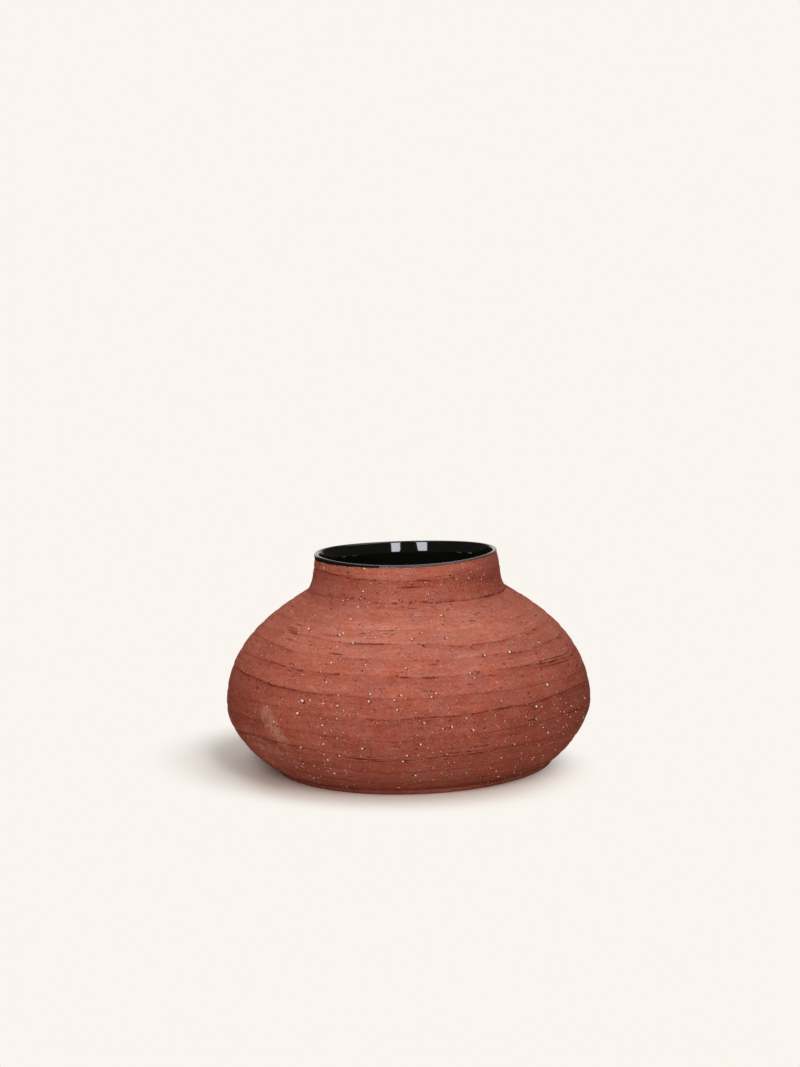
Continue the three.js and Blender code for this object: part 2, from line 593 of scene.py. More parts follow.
@dataclass(frozen=True)
class SeamLines:
    """The lines and the depths of all the seams, from the slab to the lip."""

    camera: PhotoCamera
    blend_degrees: float = 2.5
    past_sight: float = 45.0
    general_tilt: float = -2.0
    wander: Ripple = Ripple(0.35, range(3, 24), 4100)
    jitter: Ripple = Ripple(0.14, range(40, 220), 4190)
    patches: Ripple = Ripple(0.28, range(9, 60), 4150)
    patch_level: float = 0.85
    patch_limits: Range = (0.15, 1.5)
    depth_limits: Range = (0.04, 1.0)

    @cached_property
    def seams(self) -> tuple[Seam, ...]:
        """The seams in order."""
        seen = {
            3: LOW_SEAM,
            5: BELLY_CRACK_SEAM,
            6: BELLY_SEAM,
            7: THIRD_SHOULDER_SEAM,
            8: SECOND_SHOULDER_SEAM,
            9: FIRST_SHOULDER_SEAM,
        }
        faint = {10: 0.2, 11: 0.2}
        coils = enumerate(WALL_COILS, 1)
        wall = [Seam(coil, seen.get(ring, ()), faint.get(ring, Seam.quiet)) for ring, coil in coils]
        # The neck's foot takes painted shade above its seam, and a little below it.
        neck = Seam("neck_coil", NECK_SEAM, over=-1.1, under=0.1)
        return (*wall, neck, Seam("lip_coil", LIP_SEAM))

    @cached_property
    def azimuths(self) -> np.ndarray:
        """The azimuths of the mesh's columns."""
        return azimuth_columns(COLUMNS)

    def blended(self, line: np.ndarray) -> np.ndarray:
        """A line round the pot with its corners rounded off.

        Args:
            line: The line's value at each column.

        Returns:
            The rounded line's value at each column.
        """
        width = self.blend_degrees * COLUMNS / 360.0
        reach = np.arange(-int(4 * width), int(4 * width) + 1)
        weights = np.exp(-0.5 * (reach / width) ** 2)
        long_line = np.concatenate([line[-len(reach) :], line, line[: len(reach)]])
        return np.convolve(long_line, weights / weights.sum(), "same")[len(reach) : -len(reach)]

    def read(self, seam: Seam) -> tuple[np.ndarray, np.ndarray]:
        """A seam as the photograph shows it, and left to itself round the back.

        Args:
            seam: A seam that was read.

        Returns:
            How far it lies above its level, and its depth from 0 to 1, at each column.
        """
        azimuths, runs = self.camera.find([reading[:2] for reading in seam.seen])
        lifts = self.camera.outline.place(runs)[1] - seam.level
        depths = [reading[2] for reading in seam.seen]
        ends = azimuths[0] - self.past_sight, azimuths[-1] + self.past_sight
        stations = np.array([ends[0], *azimuths, ends[1]])
        lift = np.interp(self.azimuths, stations, [0.0, *lifts, 0.0], period=360.0)
        depth = np.interp(self.azimuths, stations, [seam.quiet, *depths, seam.quiet], period=360.0)
        return self.blended(lift), self.blended(depth)

    @cached_property
    def lines(self) -> tuple[list[np.ndarray], list[np.ndarray]]:
        """For each seam its run and its depth from 0 to 1 at each column."""
        seen = {index: self.read(seam) for index, seam in enumerate(self.seams) if seam.seen}
        tilt = self.general_tilt * np.sin(np.radians(self.azimuths))
        seen[-1] = (tilt, np.zeros(COLUMNS))
        runs, depths = [], []
        for index, seam in enumerate(self.seams):
            if seam.seen:
                lift, depth = seen[index]
            else:
                below = max(key for key in seen if key < index)
                above = min(key for key in seen if key > index)
                share = (index - below) / (above - below)
                lift = seen[below][0] * (1.0 - share) + seen[above][0] * share
                depth = np.full(COLUMNS, seam.quiet)
            wander = self.wander.line(self.azimuths, index) + self.jitter.line(self.azimuths, index)
            patches = self.patch_level + self.patches.line(self.azimuths, index)
            runs.append(self.camera.outline.run_at(seam.level + lift + wander))
            depths.append(np.clip(depth * np.clip(patches, *self.patch_limits), *self.depth_limits))
        return runs, depths


# Short marks of the front, from the photograph. A drag runs from the first pixel to the second.
DEEP_DRAGS = (
    ((294.4, 623.5), (304.7, 626.3)), ((284.8, 628.7), (300.8, 632)),
    ((284.4, 638), (294.4, 640.7)), ((320, 634.3), (339, 636.3)), ((352.8, 642.5), (399.8, 644)),
    ((359, 633), (366.3, 633)), ((406.6, 608.5), (418.5, 608.5)), ((473, 671.4), (482.4, 671.4)),
    ((473, 614), (479.4, 612.6)), ((419.7, 677.7), (435.7, 677.7)), ((399, 677.3), (408.6, 677.3)),
    ((389, 634.8), (395.8, 634.8)), ((534, 669), (572, 658)), ((530, 662.8), (571, 651.5)),
    ((395, 587.4), (430, 586.6)), ((324, 652.8), (345, 654.6)), ((328, 609), (333, 607.6)),
    ((421, 601.6), (429, 601.8)), ((526, 721.3), (536, 719.3)), ((566, 714.5), (584, 707)),
    ((484, 675.8), (500, 674.6)), ((420, 690.6), (438, 691.6)), ((534, 616.3), (538, 614.5)),
    ((484, 597), (497, 592)), ((286, 626), (299, 629.4)), ((287, 630.8), (300, 634)),
    ((415, 580.6), (430, 580.2)),
)
FAINT_DRAGS = (
    ((292, 672.2), (300.8, 674.2)), ((276.8, 662.2), (284.4, 663.8)), ((332, 674.2), (347.8, 675)),
    ((331, 653), (344.6, 655)), ((342.4, 619), (357, 619)), ((358.3, 658.6), (379, 658.6)),
    ((340, 651.8), (350, 652)), ((457, 645.4), (465, 645.4)), ((459.6, 608.3), (465, 608)),
    ((443, 705.5), (456, 704.5)), ((362, 749), (384, 750)), ((352, 744.5), (372, 746.5)),
    ((500, 737), (530, 733)), ((345, 705.5), (352, 705.8)), ((410, 694), (424, 692.6)),
    ((322, 720), (352, 722)), ((416, 578.8), (450, 575.8)), ((452, 576), (470, 571.5)),
    ((330, 566.5), (352, 571.5)),
)
LARGE_PITS = ((402.6, 606.3), (438, 660.6), (451.6, 604.4))
SMALL_PITS = (
    (399, 600.3), (402.3, 601.5), (411, 602), (416, 601.2), (405.3, 614), (386.2, 613.2),
    (352, 598), (364.5, 598.7), (361, 596.5), (331, 608.6), (437, 602.8), (430.8, 602.6),
    (395.8, 628), (446.7, 609.9), (392, 629.5), (425.5, 647), (424, 644.5), (566, 673.5),
    (319.5, 699.5), (326, 664), (289, 739.5),
)


class Mark(Enum):
    """What left a mark on the clay, with its half width, its depth and its burr in millimetres."""

    DEEP_DRAG = (0.6, 0.8, 0.2)
    FAINT_DRAG = (0.38, 0.42, 0.1)
    LARGE_PIT = (1.25, 1.0, 0.0)
    SMALL_PIT = (0.85, 0.7, 0.0)


@dataclass(frozen=True)
class Drag:
    """A scratch that a grain left as it was dragged through the clay."""

    azimuth: float
    reach: float
    low_run: float
    high_run: float
    kind: Mark
    strength: float = 1.0


@dataclass(frozen=True)
class Pit:
    """A small hole, such as the one that a grain sits in."""

    azimuth: float
    run: float
    radius: float
    depth: float


@dataclass(frozen=True)
class ClayMarks:
    """All the drags and pits of the outside: those that the photograph shows and others like them.

    A pair of numbers that is drawn from is a mean and a spread, or a least and a greatest.
    """

    camera: PhotoCamera
    cluster_count: int = 130
    cluster_sizes: tuple[int, int] = (3, 12)
    cluster_spread: Range = (4.0, 3.0)
    single_count: int = 520
    drag_ends: Range = (2.0, 4.0)
    drag_length: Range = (1.3, 0.6)
    drag_limits: Range = (1.5, 20.0)
    drag_strength: Range = (0.25, 1.0)
    drag_fading: float = 1.2
    drag_slant: float = 0.02
    deep_in_front: float = 0.8
    deep_elsewhere: float = 0.6
    front: float = 68.0
    neck_run: float = 172.0
    neck_length: float = 3.5
    neck_strength: float = 0.6
    pit_count: int = 1700
    pit_ends: Range = (1.0, 3.0)
    pit_radius: Range = (-0.8, 0.45)
    pit_limits: Range = (0.28, 1.15)
    pit_depth: float = 0.75
    seed: int = 77

    def read_drags(self, drags: tuple[tuple[Pixel, Pixel], ...], kind: Mark) -> list[Drag]:
        """Drags of one kind, found in the photograph.

        Args:
            drags: The pixels of each drag's two ends.
            kind: What left them.

        Returns:
            The drags.
        """
        found = []
        for start_azimuth, start, end_azimuth, end in zip(
            *self.camera.find([first for first, _ in drags]),
            *self.camera.find([last for _, last in drags]),
        ):
            middle, span = (start_azimuth + end_azimuth) / 2.0, end_azimuth - start_azimuth
            found.append(Drag(middle, abs(span) / 2.0, start, end, kind))
        return found

    def read_pits(self, pixels: tuple[Pixel, ...], kind: Mark) -> list[Pit]:
        """Pits of one kind, found in the photograph."""
        radius, depth, _ = kind.value
        return [Pit(azimuth, run, radius, depth) for azimuth, run in zip(*self.camera.find(pixels))]

    @cached_property
    def drags(self) -> list[Drag]:
        """Every drag: the seen ones, clusters where a hand caught the grains, and single ones."""
        found = self.read_drags(DEEP_DRAGS, Mark.DEEP_DRAG)
        found += self.read_drags(FAINT_DRAGS, Mark.FAINT_DRAG)
        rng = np.random.default_rng(self.seed)
        low = (-180.0, self.drag_ends[0])
        high = (180.0, self.camera.outline.runs[-1] - self.drag_ends[1])
        places = rng.uniform(low, high, (self.single_count, 2)).tolist()
        for middle in rng.uniform(low, high, (self.cluster_count, 2)):
            size = int(rng.integers(*self.cluster_sizes))
            places += rng.normal(middle, self.cluster_spread, (size, 2)).tolist()
        for azimuth, run in places:
            length = float(np.clip(rng.lognormal(*self.drag_length), *self.drag_limits))
            strength = float(rng.uniform(*self.drag_strength)) ** self.drag_fading
            rise = float(rng.normal(0.0, self.drag_slant)) * length
            deep_from = self.deep_in_front if abs(azimuth) < self.front else self.deep_elsewhere
            if run > self.neck_run:
                length, strength = length * self.neck_length, strength * self.neck_strength
            kind = Mark.DEEP_DRAG if strength > deep_from else Mark.FAINT_DRAG
            reach = math.degrees(length / float(self.camera.outline.place(run)[0])) / 2.0
            found.append(Drag(azimuth, reach, run - rise, run + rise, kind, strength))
        return found

    @cached_property
    def pits(self) -> list[Pit]:
        """Every pit of the outside that holds no seen grain."""
        rng = np.random.default_rng(self.seed + 1)
        found = self.read_pits(LARGE_PITS, Mark.LARGE_PIT)
        found += self.read_pits(SMALL_PITS, Mark.SMALL_PIT)
        azimuths = rng.uniform(-180.0, 180.0, self.pit_count)
        top = self.camera.outline.runs[-1] - self.pit_ends[1]
        runs = rng.uniform(self.pit_ends[0], top, self.pit_count)
        radii = np.clip(rng.lognormal(*self.pit_radius, self.pit_count), *self.pit_limits)
        for azimuth, run, radius in zip(azimuths, runs, radii):
            found.append(Pit(azimuth, run, radius, self.pit_depth * radius))
        return found


# Grains that the photograph shows: the boldest, the ones that stand out, and the lesser ones
BOLD_GRAINS = (
    (302, 700.8), (309.3, 700), (296.5, 713.4), (300.4, 747.8), (339.3, 756.2), (424, 723),
    (452, 727), (421, 744.6), (402.4, 762), (548.3, 732.2), (537, 706.4), (547.7, 684.5),
    (510, 651.3), (336.6, 706), (309, 628.7), (324, 568), (431.3, 696.6), (406.8, 756),
)
LARGE_GRAINS = (
    (292, 611), (339.3, 634.5), (441.7, 615), (446.5, 638), (411.4, 639.3), (352.5, 642.5),
    (405.4, 668.5), (539, 642), (484.7, 654.8), (470.8, 672.5), (370.3, 694), (273.6, 722),
    (536.5, 719), (369, 701.4), (396.6, 710.3), (435.7, 693.6), (542.6, 755.6), (514.7, 744.3),
    (362, 748.6), (415, 775.7), (466.5, 718.4), (473.4, 730), (533.6, 757.6), (393.8, 700.5),
    (400.8, 695.2),
)
SMALL_GRAINS = (
    (305.7, 611.4), (315, 615), (311, 631.5), (285.6, 633.3), (298.4, 633), (283.6, 637.5),
    (295.3, 639.2), (271, 645.5), (261.7, 655.2), (268, 655), (295.4, 664.6), (302, 674.6),
    (320.5, 671.8), (297.2, 682.4), (286.6, 683), (340, 659), (347, 599.4), (343, 600.4),
    (360.3, 598.4), (367.5, 606.7), (380, 601), (445.3, 610), (421.5, 633), (369.5, 631.3),
    (366, 637.6), (375.5, 637.6), (363, 650), (365, 664.6), (408.6, 670.5), (452.4, 649.7),
    (475, 678), (494, 664.8), (508, 604), (519.4, 634.5), (563.4, 648.8), (267, 706.7),
    (298.8, 701.2), (331.5, 705.6), (324.7, 733), (330.7, 730.7), (320.7, 776.5), (347, 773),
    (405.4, 698.6), (348.8, 715.5), (376.7, 723), (419.3, 720.3), (443, 728.7), (428.5, 747.8),
    (395.4, 758), (423.7, 759), (441.4, 751.4), (446.5, 754.6), (454.6, 762.4), (442, 773.6),
    (451.6, 774.5), (397.4, 787), (399.5, 787.4), (447.7, 708), (440.7, 709.5), (456.8, 700.4),
    (532.8, 724.5), (512.7, 735.7), (490, 768), (466.5, 773), (495, 715), (556.5, 708.5),
    (566.8, 726), (395, 588), (560, 699), (566, 702.5), (571, 706), (575, 699.5), (564, 712),
    (570, 717), (576, 712), (579, 707), (558, 721), (563, 727), (568, 733), (552, 742), (556, 749),
    (425.2, 582.7), (411, 583.2), (401.5, 576), (471, 571), (477.5, 568.7), (469, 578),
    (481.6, 579.2), (487, 583.7), (441.3, 585), (456.8, 579.2), (491.7, 583.7), (484, 575),
    (428, 594), (303, 764), (308, 770), (314, 766), (310, 776), (319, 769), (300, 758), (324, 764),
    (328, 771),
)


@dataclass(frozen=True)
class Grain:
    """A grain of grog that sits in the clay."""

    azimuth: float
    run: float
    radius: float


@dataclass(frozen=True)
class SeenGrains:
    """The grains that the photograph shows one by one, and the pits that they sit in."""

    camera: PhotoCamera
    radii: Triple = (1.08, 0.84, 0.52)
    unevenness: Range = (0.75, 1.25)
    pit_aside: float = 0.33
    pit_drop: float = 0.5
    pit_radius: float = 1.6
    pit_depth: float = 0.6
    seed: int = 31

    @cached_property
    def grains(self) -> list[Grain]:
        """Each grain with its place and size."""
        rng = np.random.default_rng(self.seed)
        found = []
        for pixels, radius in zip((BOLD_GRAINS, LARGE_GRAINS, SMALL_GRAINS), self.radii):
            for azimuth, run in zip(*self.camera.find(pixels)):
                found.append(Grain(azimuth, run, radius * rng.uniform(*self.unevenness)))
        return found

    @cached_property
    def sockets(self) -> list[Pit]:
        """The pit that each grain sits in, open to one side of it."""
        rng = np.random.default_rng(self.seed + 1)
        found = []
        for grain in self.grains:
            azimuth = grain.azimuth + self.pit_aside * rng.choice((-1.0, 1.0))
            run, radius = grain.run - self.pit_drop * grain.radius, self.pit_radius * grain.radius
            found.append(Pit(azimuth, run, radius, self.pit_depth * grain.radius))
        return found


@dataclass(frozen=True)
class PaintedShadingPatch:
    """A soft patch that paints light or shade on the clay, making it paler or darker, found by a
    pixel of the photograph.
    """

    pixel: Pixel
    across: float
    along: float
    tone: float


@dataclass
class Relief:
    """The points of a clay piece: their runs, and how far each stands out or lies in a hollow."""

    runs: np.ndarray
    offset: np.ndarray
    hollow: np.ndarray


@dataclass(frozen=True)
class ClaySkin:
    """The relief of the clay's outside: barrelled coils, seams, drags and pits, with the painted
    light and shade of its tone.
    """

    seams: SeamLines
    marks: ClayMarks
    grains: SeenGrains
    crown: float = 0.42
    crown_reach: float = 5.0
    groove: float = 0.5
    groove_reach: float = 1.0
    groove_curve: float = 1.6
    ledge: float = 0.42
    ledge_place: float = 1.9
    # Painted shade in the seams' grooves
    dark: float = 0.75
    groove_shade_reach: float = 1.15
    groove_shade_curves: Range = (1.5, 1.8)
    over_light: float = 0.13
    over_reach: float = 3.2
    under_shade: float = 0.28
    under_reach: float = 4.2
    # Patches of painted light and shade, among them a rim light on the left edge of the shoulder
    painted_shading_patches: tuple[PaintedShadingPatch, ...] = (
        PaintedShadingPatch((486, 583), 22.0, 22.0, -0.14),
        PaintedShadingPatch((335, 588), 18.0, 12.0, -0.04),
        PaintedShadingPatch((405, 622), 45.0, 14.0, 0.06),
        PaintedShadingPatch((265, 750), 35.0, 16.0, 0.13),
        PaintedShadingPatch((540, 750), 35.0, 16.0, 0.06),
        PaintedShadingPatch((248, 705), 25.0, 18.0, -0.04),
        PaintedShadingPatch((522, 620), 30.0, 16.0, -0.04),
        PaintedShadingPatch((290, 620), 25.0, 14.0, -0.07),
        PaintedShadingPatch((254, 640), 24.0, 30.0, 0.03),
        PaintedShadingPatch((268, 649), 14.0, 9.0, -0.08),
    )
    # Painted light and shade by height: paler up the shoulder, which faces the lamps, and darker
    # from the foot up to the belly's widest part.
    painted_shading_runs: tuple[float, ...] = (0, 8, 25, 45, 60, 75, 90, 110, 135, 150, 168, 176, 199)
    painted_shading_tones: tuple[float, ...] = (
        -0.1, -0.02, 0.02, -0.07, -0.12, -0.07, 0.015, 0.085, 0.15, 0.12, 0.05, 0.01, 0.03,
    )
    seam_pit_tries: int = 150
    seam_pit_radius: Range = (-1.0, 0.35)
    seam_pit_limits: Range = (0.25, 0.7)
    seam_pit_spread: float = 0.55
    seam_pit_chance: float = 1.7
    seam_pit_depth: float = 0.7
    drag_wave: Range = (0.25, 1.7)
    drag_unevenness: Triple = (0.8, 0.3, 2.9)
    drag_fade: float = 0.5
    burr_place: float = 1.9
    # Painted shade in the pits
    pit_shade: float = 0.75
    pit_flatness: float = 0.8
    pit_edge: float = 1.5
    pit_reach: float = 2.2
    past_row: float = 2.0
    seed: int = 19

    def relief(
        self, low: int | None, high: int | None, runs: np.ndarray
    ) -> tuple[np.ndarray, np.ndarray, np.ndarray]:
        """The relief between two seams.

        Args:
            low: The number of the seam below, or None.
            high: The number of the seam above, or None.
            runs: The runs of the points, one row of the mesh after another.

        Returns:
            How far each point stands out in millimetres, how deep in a hollow it lies from 0 to 1,
            and how much paler the clay is painted there: painted light and shade at the seams, by
            height and in patches.
        """
        relief = Relief(runs, np.zeros_like(runs), np.zeros_like(runs))
        tone = np.interp(runs, self.painted_shading_runs, self.painted_shading_tones)
        lines, depths = self.seams.lines
        if low is not None:
            above = runs - lines[low]
            self.edge(relief, above, depths[low], self.ledge)
            # Painted light above the seam below, and painted shade under the seam above.
            light = self.over_light * self.seams.seams[low].over
            tone += light * depths[low] * np.exp(-above / self.over_reach)
        if high is not None:
            below = lines[high] - runs
            self.edge(relief, below, depths[high], 0.0)
            shade = self.under_shade * self.seams.seams[high].under
            tone -= shade * depths[high] * np.exp(-below / self.under_reach)
        # Painted light and shade in patches
        pixels = [painted_patch.pixel for painted_patch in self.painted_shading_patches]
        for azimuth, run, painted_patch in zip(*self.seams.camera.find(pixels), self.painted_shading_patches):
            radius = float(self.seams.camera.outline.place(run)[0])
            aside = np.radians(around(self.seams.azimuths, azimuth)) * radius / painted_patch.across
            tone += painted_patch.tone * np.exp(-(aside**2) - ((runs - run) / painted_patch.along) ** 2)
        for drag in self.marks.drags:
            self.drag(relief, drag)
        for pit in self.marks.pits + self.seam_pits + self.grains.sockets:
            self.pit(relief, pit)
        return relief.offset, np.clip(relief.hollow, 0.0, 1.0), tone

    @cached_property
    def seam_pits(self) -> list[Pit]:
        """Small pits that make the deeper seams ragged."""
        rng = np.random.default_rng(self.seed)
        found = []
        for runs, depths in zip(*self.seams.lines):
            for column in rng.integers(0, len(runs), self.seam_pit_tries):
                radius = rng.lognormal(*self.seam_pit_radius)
                radius = float(np.clip(radius, *self.seam_pit_limits))
                run = runs[column] + float(rng.normal(0.0, self.seam_pit_spread))
                if rng.uniform() < depths[column] ** self.seam_pit_chance:
                    azimuth = float(self.seams.azimuths[column])
                    found.append(Pit(azimuth, run, radius, self.seam_pit_depth * radius))
        return found

    def edge(
        self, relief: Relief, distance: np.ndarray, depth: np.ndarray, ledge: float
    ) -> None:
        """Draws a coil in towards one of its seams, and lets it overhang the coil below.

        Args:
            relief: The relief, which is changed here.
            distance: How far each point lies from the seam.
            depth: How deep the seam is at each column.
            ledge: How far the coil overhangs.
        """
        rounding = np.clip(1.0 - distance / self.crown_reach, 0.0, 1.0) ** 2
        cut = np.clip(1.0 - distance / self.groove_reach, 0.0, 1.0) ** self.groove_curve
        share = distance / self.ledge_place
        relief.offset -= self.crown * rounding + self.groove * depth * cut
        relief.offset += ledge * depth * share * np.exp(1.0 - share)
        # Painted shade in the seam's groove: the hollow share darkens the clay there.
        near = np.clip(1.0 - distance / self.groove_shade_reach, 0.0, 1.0)
        dark = depth ** self.groove_shade_curves[0] * near ** self.groove_shade_curves[1]
        relief.hollow += self.dark * dark

    def columns_near(
        self, runs: np.ndarray, low: float, high: float, azimuth: float, reach: float
    ) -> tuple[np.ndarray, np.ndarray]:
        """The mesh's columns near a mark.

        Args:
            runs: The runs of the points of this piece.
            low: The mark's lowest run.
            high: Its highest run.
            azimuth: The azimuth of its middle.
            reach: How many degrees it reaches to each side.

        Returns:
            The columns and their azimuths from the mark. There are none if it is on another piece.
        """
        apart = around(self.seams.azimuths, azimuth)
        is_here = high >= runs.min() - self.past_row and low <= runs.max() + self.past_row
        near = np.nonzero((np.abs(apart) < reach) & is_here)[0]
        return near, apart[near]

    def drag(self, relief: Relief, drag: Drag) -> None:
        """Cuts one drag, with a burr along its lower side.

        Args:
            relief: The relief, which is changed here.
            drag: The drag.
        """
        low, high = sorted((drag.low_run, drag.high_run))
        near, apart = self.columns_near(relief.runs, low, high, drag.azimuth, drag.reach)
        if len(near) == 0:
            return
        width, depth, burr = drag.kind.value
        share = apart / drag.reach
        along = np.radians(apart) * self.seams.camera.outline.belly_radius
        line = (drag.low_run + drag.high_run) / 2.0 + share * (drag.high_run - drag.low_run) / 2.0
        height, waves = self.drag_wave
        line += height * np.sin(waves * along + drag.azimuth)
        level, height, waves = self.drag_unevenness
        fade = np.clip(1.0 - np.abs(share), 0.0, 1.0) ** self.drag_fade * drag.strength
        fade *= level + height * np.sin(waves * along + drag.low_run)
        across = (relief.runs[:, near] - line) / width
        cut = np.exp(-(across**2)) * fade
        ridge = burr * fade * np.exp(-((across + self.burr_place) ** 2))
        relief.offset[:, near] += ridge - depth * cut
        # Painted shade in the drag's cut
        relief.hollow[:, near] += cut * depth / Mark.DEEP_DRAG.value[1]

    def pit(self, relief: Relief, pit: Pit) -> None:
        """Sinks one pit.

        Args:
            relief: The relief, which is changed here.
            pit: The pit.
        """
        radius = float(self.seams.camera.outline.place(pit.run)[0])
        reach = math.degrees(self.pit_reach * pit.radius / radius)
        near, apart = self.columns_near(relief.runs, pit.run, pit.run, pit.azimuth, reach)
        if len(near) == 0:
            return
        aside = np.radians(apart) * radius / pit.radius
        across = (relief.runs[:, near] - pit.run) / (self.pit_flatness * pit.radius)
        sunk = np.exp(-((aside**2 + across**2) ** self.pit_edge))
        relief.offset[:, near] -= pit.depth * sunk
        # Painted shade in the pit
        relief.hollow[:, near] += self.pit_shade * sunk


def arithmetic(operation: str, is_turned: bool = False) -> Callable[..., "NodeValue"]:
    """Makes the method behind one of Python's operators.

    Args:
        operation: The operation of the Math node that it adds.
        is_turned: True where the value stands behind the operator.

    Returns:
        The method.
    """

    def method(value: "NodeValue", other: Any) -> "NodeValue":
        """Adds the node and takes what comes out."""
        return value.maths(operation, *((other, value) if is_turned else (value, other)))

    return method


class NodeValue:
    """A socket of a node tree that takes part in Python's arithmetic."""

    def __init__(self, tree: "NodeTree", socket: bpy.types.NodeSocket) -> None:
        """Wraps a socket of a tree."""
        self.tree = tree
        self.socket = socket

    def maths(self, operation: str, *values: Any) -> "NodeValue":
        """Adds a Math node, or a Vector Math node where the socket holds a vector.

        Args:
            operation: The node's operation.
            values: What goes in, in order.

        Returns:
            What comes out.
        """
        kind = "ShaderNodeMath"
        if self.socket.type == "VECTOR":
            kind = "ShaderNodeVectorMath"
            values = [(part,) * 3 if isinstance(part, (int, float)) else part for part in values]
        return self.tree.take(kind, 0, {"operation": operation}, dict(enumerate(values)))

    __add__ = __radd__ = arithmetic("ADD")
    __sub__, __rsub__ = arithmetic("SUBTRACT"), arithmetic("SUBTRACT", True)
    __mul__ = __rmul__ = arithmetic("MULTIPLY")
    __truediv__, __rtruediv__ = arithmetic("DIVIDE"), arithmetic("DIVIDE", True)
    __pow__ = arithmetic("POWER")

    def __neg__(self) -> "NodeValue":
        """The value with its sign turned."""
        return self * -1.0

    def length(self) -> "NodeValue":
        """The length of a vector."""
        return self.tree.take("ShaderNodeVectorMath", "Value", {"operation": "LENGTH"}, {0: self})

    def scaled(self, factor: Any) -> "NodeValue":
        """A vector times a number."""
        sockets = {0: self, "Scale": factor}
        return self.tree.take("ShaderNodeVectorMath", "Vector", {"operation": "SCALE"}, sockets)

    def part(self, axis: str) -> "NodeValue":
        """One of a vector's parts: X, Y or Z."""
        return self.tree.take("ShaderNodeSeparateXYZ", axis, None, {"Vector": self})

    def between(self, low: float, high: float) -> "NodeValue":
        """Goes smoothly from 0 where the value is low to 1 where it is high.

        Args:
            low: The value that gives 0.
            high: The value that gives 1.

        Returns:
            What comes out.
        """
        settings = {"interpolation_type": "SMOOTHSTEP", "clamp": True}
        sockets = {"Value": self, "From Min": low, "From Max": high, "To Min": 0.0, "To Max": 1.0}
        return self.tree.take("ShaderNodeMapRange", "Result", settings, sockets)


@dataclass(frozen=True)
class Pattern:
    """Soft noise: its patches to a metre, its finer layers and their strength, and its seed.

    Where the noise is stretched, its scale counts in the stretched coordinates. Where it is one of
    several that add up, its strength is its own share.
    """

    scale: float
    detail: float
    roughness: float
    seed: float
    stretch: Triple | None = None
    strength: float = 1.0


class NodeTree:
    """Builds the nodes of a material or of a Geometry Nodes group."""

    def __init__(self, tree: bpy.types.NodeTree) -> None:
        """Takes an empty tree."""
        self.tree = tree

    def node(self, kind: str, settings: Given = None, sockets: Given = None) -> bpy.types.Node:
        """Adds any node.

        Args:
            kind: The node's type.
            settings: What is set on the node itself, such as an operation or a ramp's stops.
            sockets: Values, or links, for its input sockets, by name or number.

        Returns:
            The node.
        """
        node = self.tree.nodes.new(kind)
        for name, setting in (settings or {}).items():
            if name == "stops":
                self.set_stops(node.color_ramp, setting)
            else:
                setattr(node, name, setting)
        for name, given in (sockets or {}).items():
            source = given.socket if isinstance(given, NodeValue) else given
            if isinstance(source, bpy.types.NodeSocket):
                self.tree.links.new(source, self.side(node.inputs, name))
            else:
                self.side(node.inputs, name).default_value = source
        return node

    @staticmethod
    def set_stops(ramp: bpy.types.ColorRamp, stops: Sequence[tuple[float, Colour]]) -> None:
        """Gives a ramp its stops, each a place and a colour.

        Args:
            ramp: The ramp.
            stops: The stops.
        """
        while len(ramp.elements) < len(stops):
            ramp.elements.new(1.0)
        for element, (place, colour) in zip(ramp.elements, stops):
            element.position = place
            element.color = colour

    @staticmethod
    def side(sockets: Any, name: str | int) -> bpy.types.NodeSocket:
        """The socket with a number, or the enabled one with a name.

        Args:
            sockets: A node's inputs or outputs.
            name: The socket's name or number.

        Returns:
            The socket.
        """
        if isinstance(name, int):
            return sockets[name]
        return next(socket for socket in sockets if socket.name == name and socket.enabled)

    def value(self, node: bpy.types.Node, name: str | int = 0) -> NodeValue:
        """An output of a node, ready for arithmetic."""
        return NodeValue(self, self.side(node.outputs, name))

    def take(
        self, kind: str, output: str | int = 0, settings: Given = None, sockets: Given = None
    ) -> NodeValue:
        """Adds any node and takes one of its outputs.

        Args:
            kind: The node's type.
            output: The name or number of the output.
            settings: What is set on the node itself.
            sockets: Values, or links, for its input sockets.

        Returns:
            The output, ready for arithmetic.
        """
        return self.value(self.node(kind, settings, sockets), output)

    def noise(
        self, place: NodeValue, look: Pattern, scale: Any = None, seed: Any = None
    ) -> NodeValue:
        """A pattern's noise.

        Args:
            place: Where it is looked up.
            look: The pattern.
            scale: A value in place of the pattern's own scale.
            seed: A value in place of the pattern's own seed.

        Returns:
            The noise, from 0 to 1 and about 0.5.
        """
        sockets = {
            "Vector": place * look.stretch if look.stretch else place,
            "W": look.seed if seed is None else seed,
            "Scale": look.scale if scale is None else scale,
            "Detail": look.detail,
            "Roughness": look.roughness,
        }
        return self.take("ShaderNodeTexNoise", 0, {"noise_dimensions": "4D"}, sockets)

    def mixed_shader(self, factor: NodeValue, first: NodeValue, second: NodeValue) -> NodeValue:
        """Mixes two shaders."""
        return self.take("ShaderNodeMixShader", 0, None, {0: factor, 1: first, 2: second})


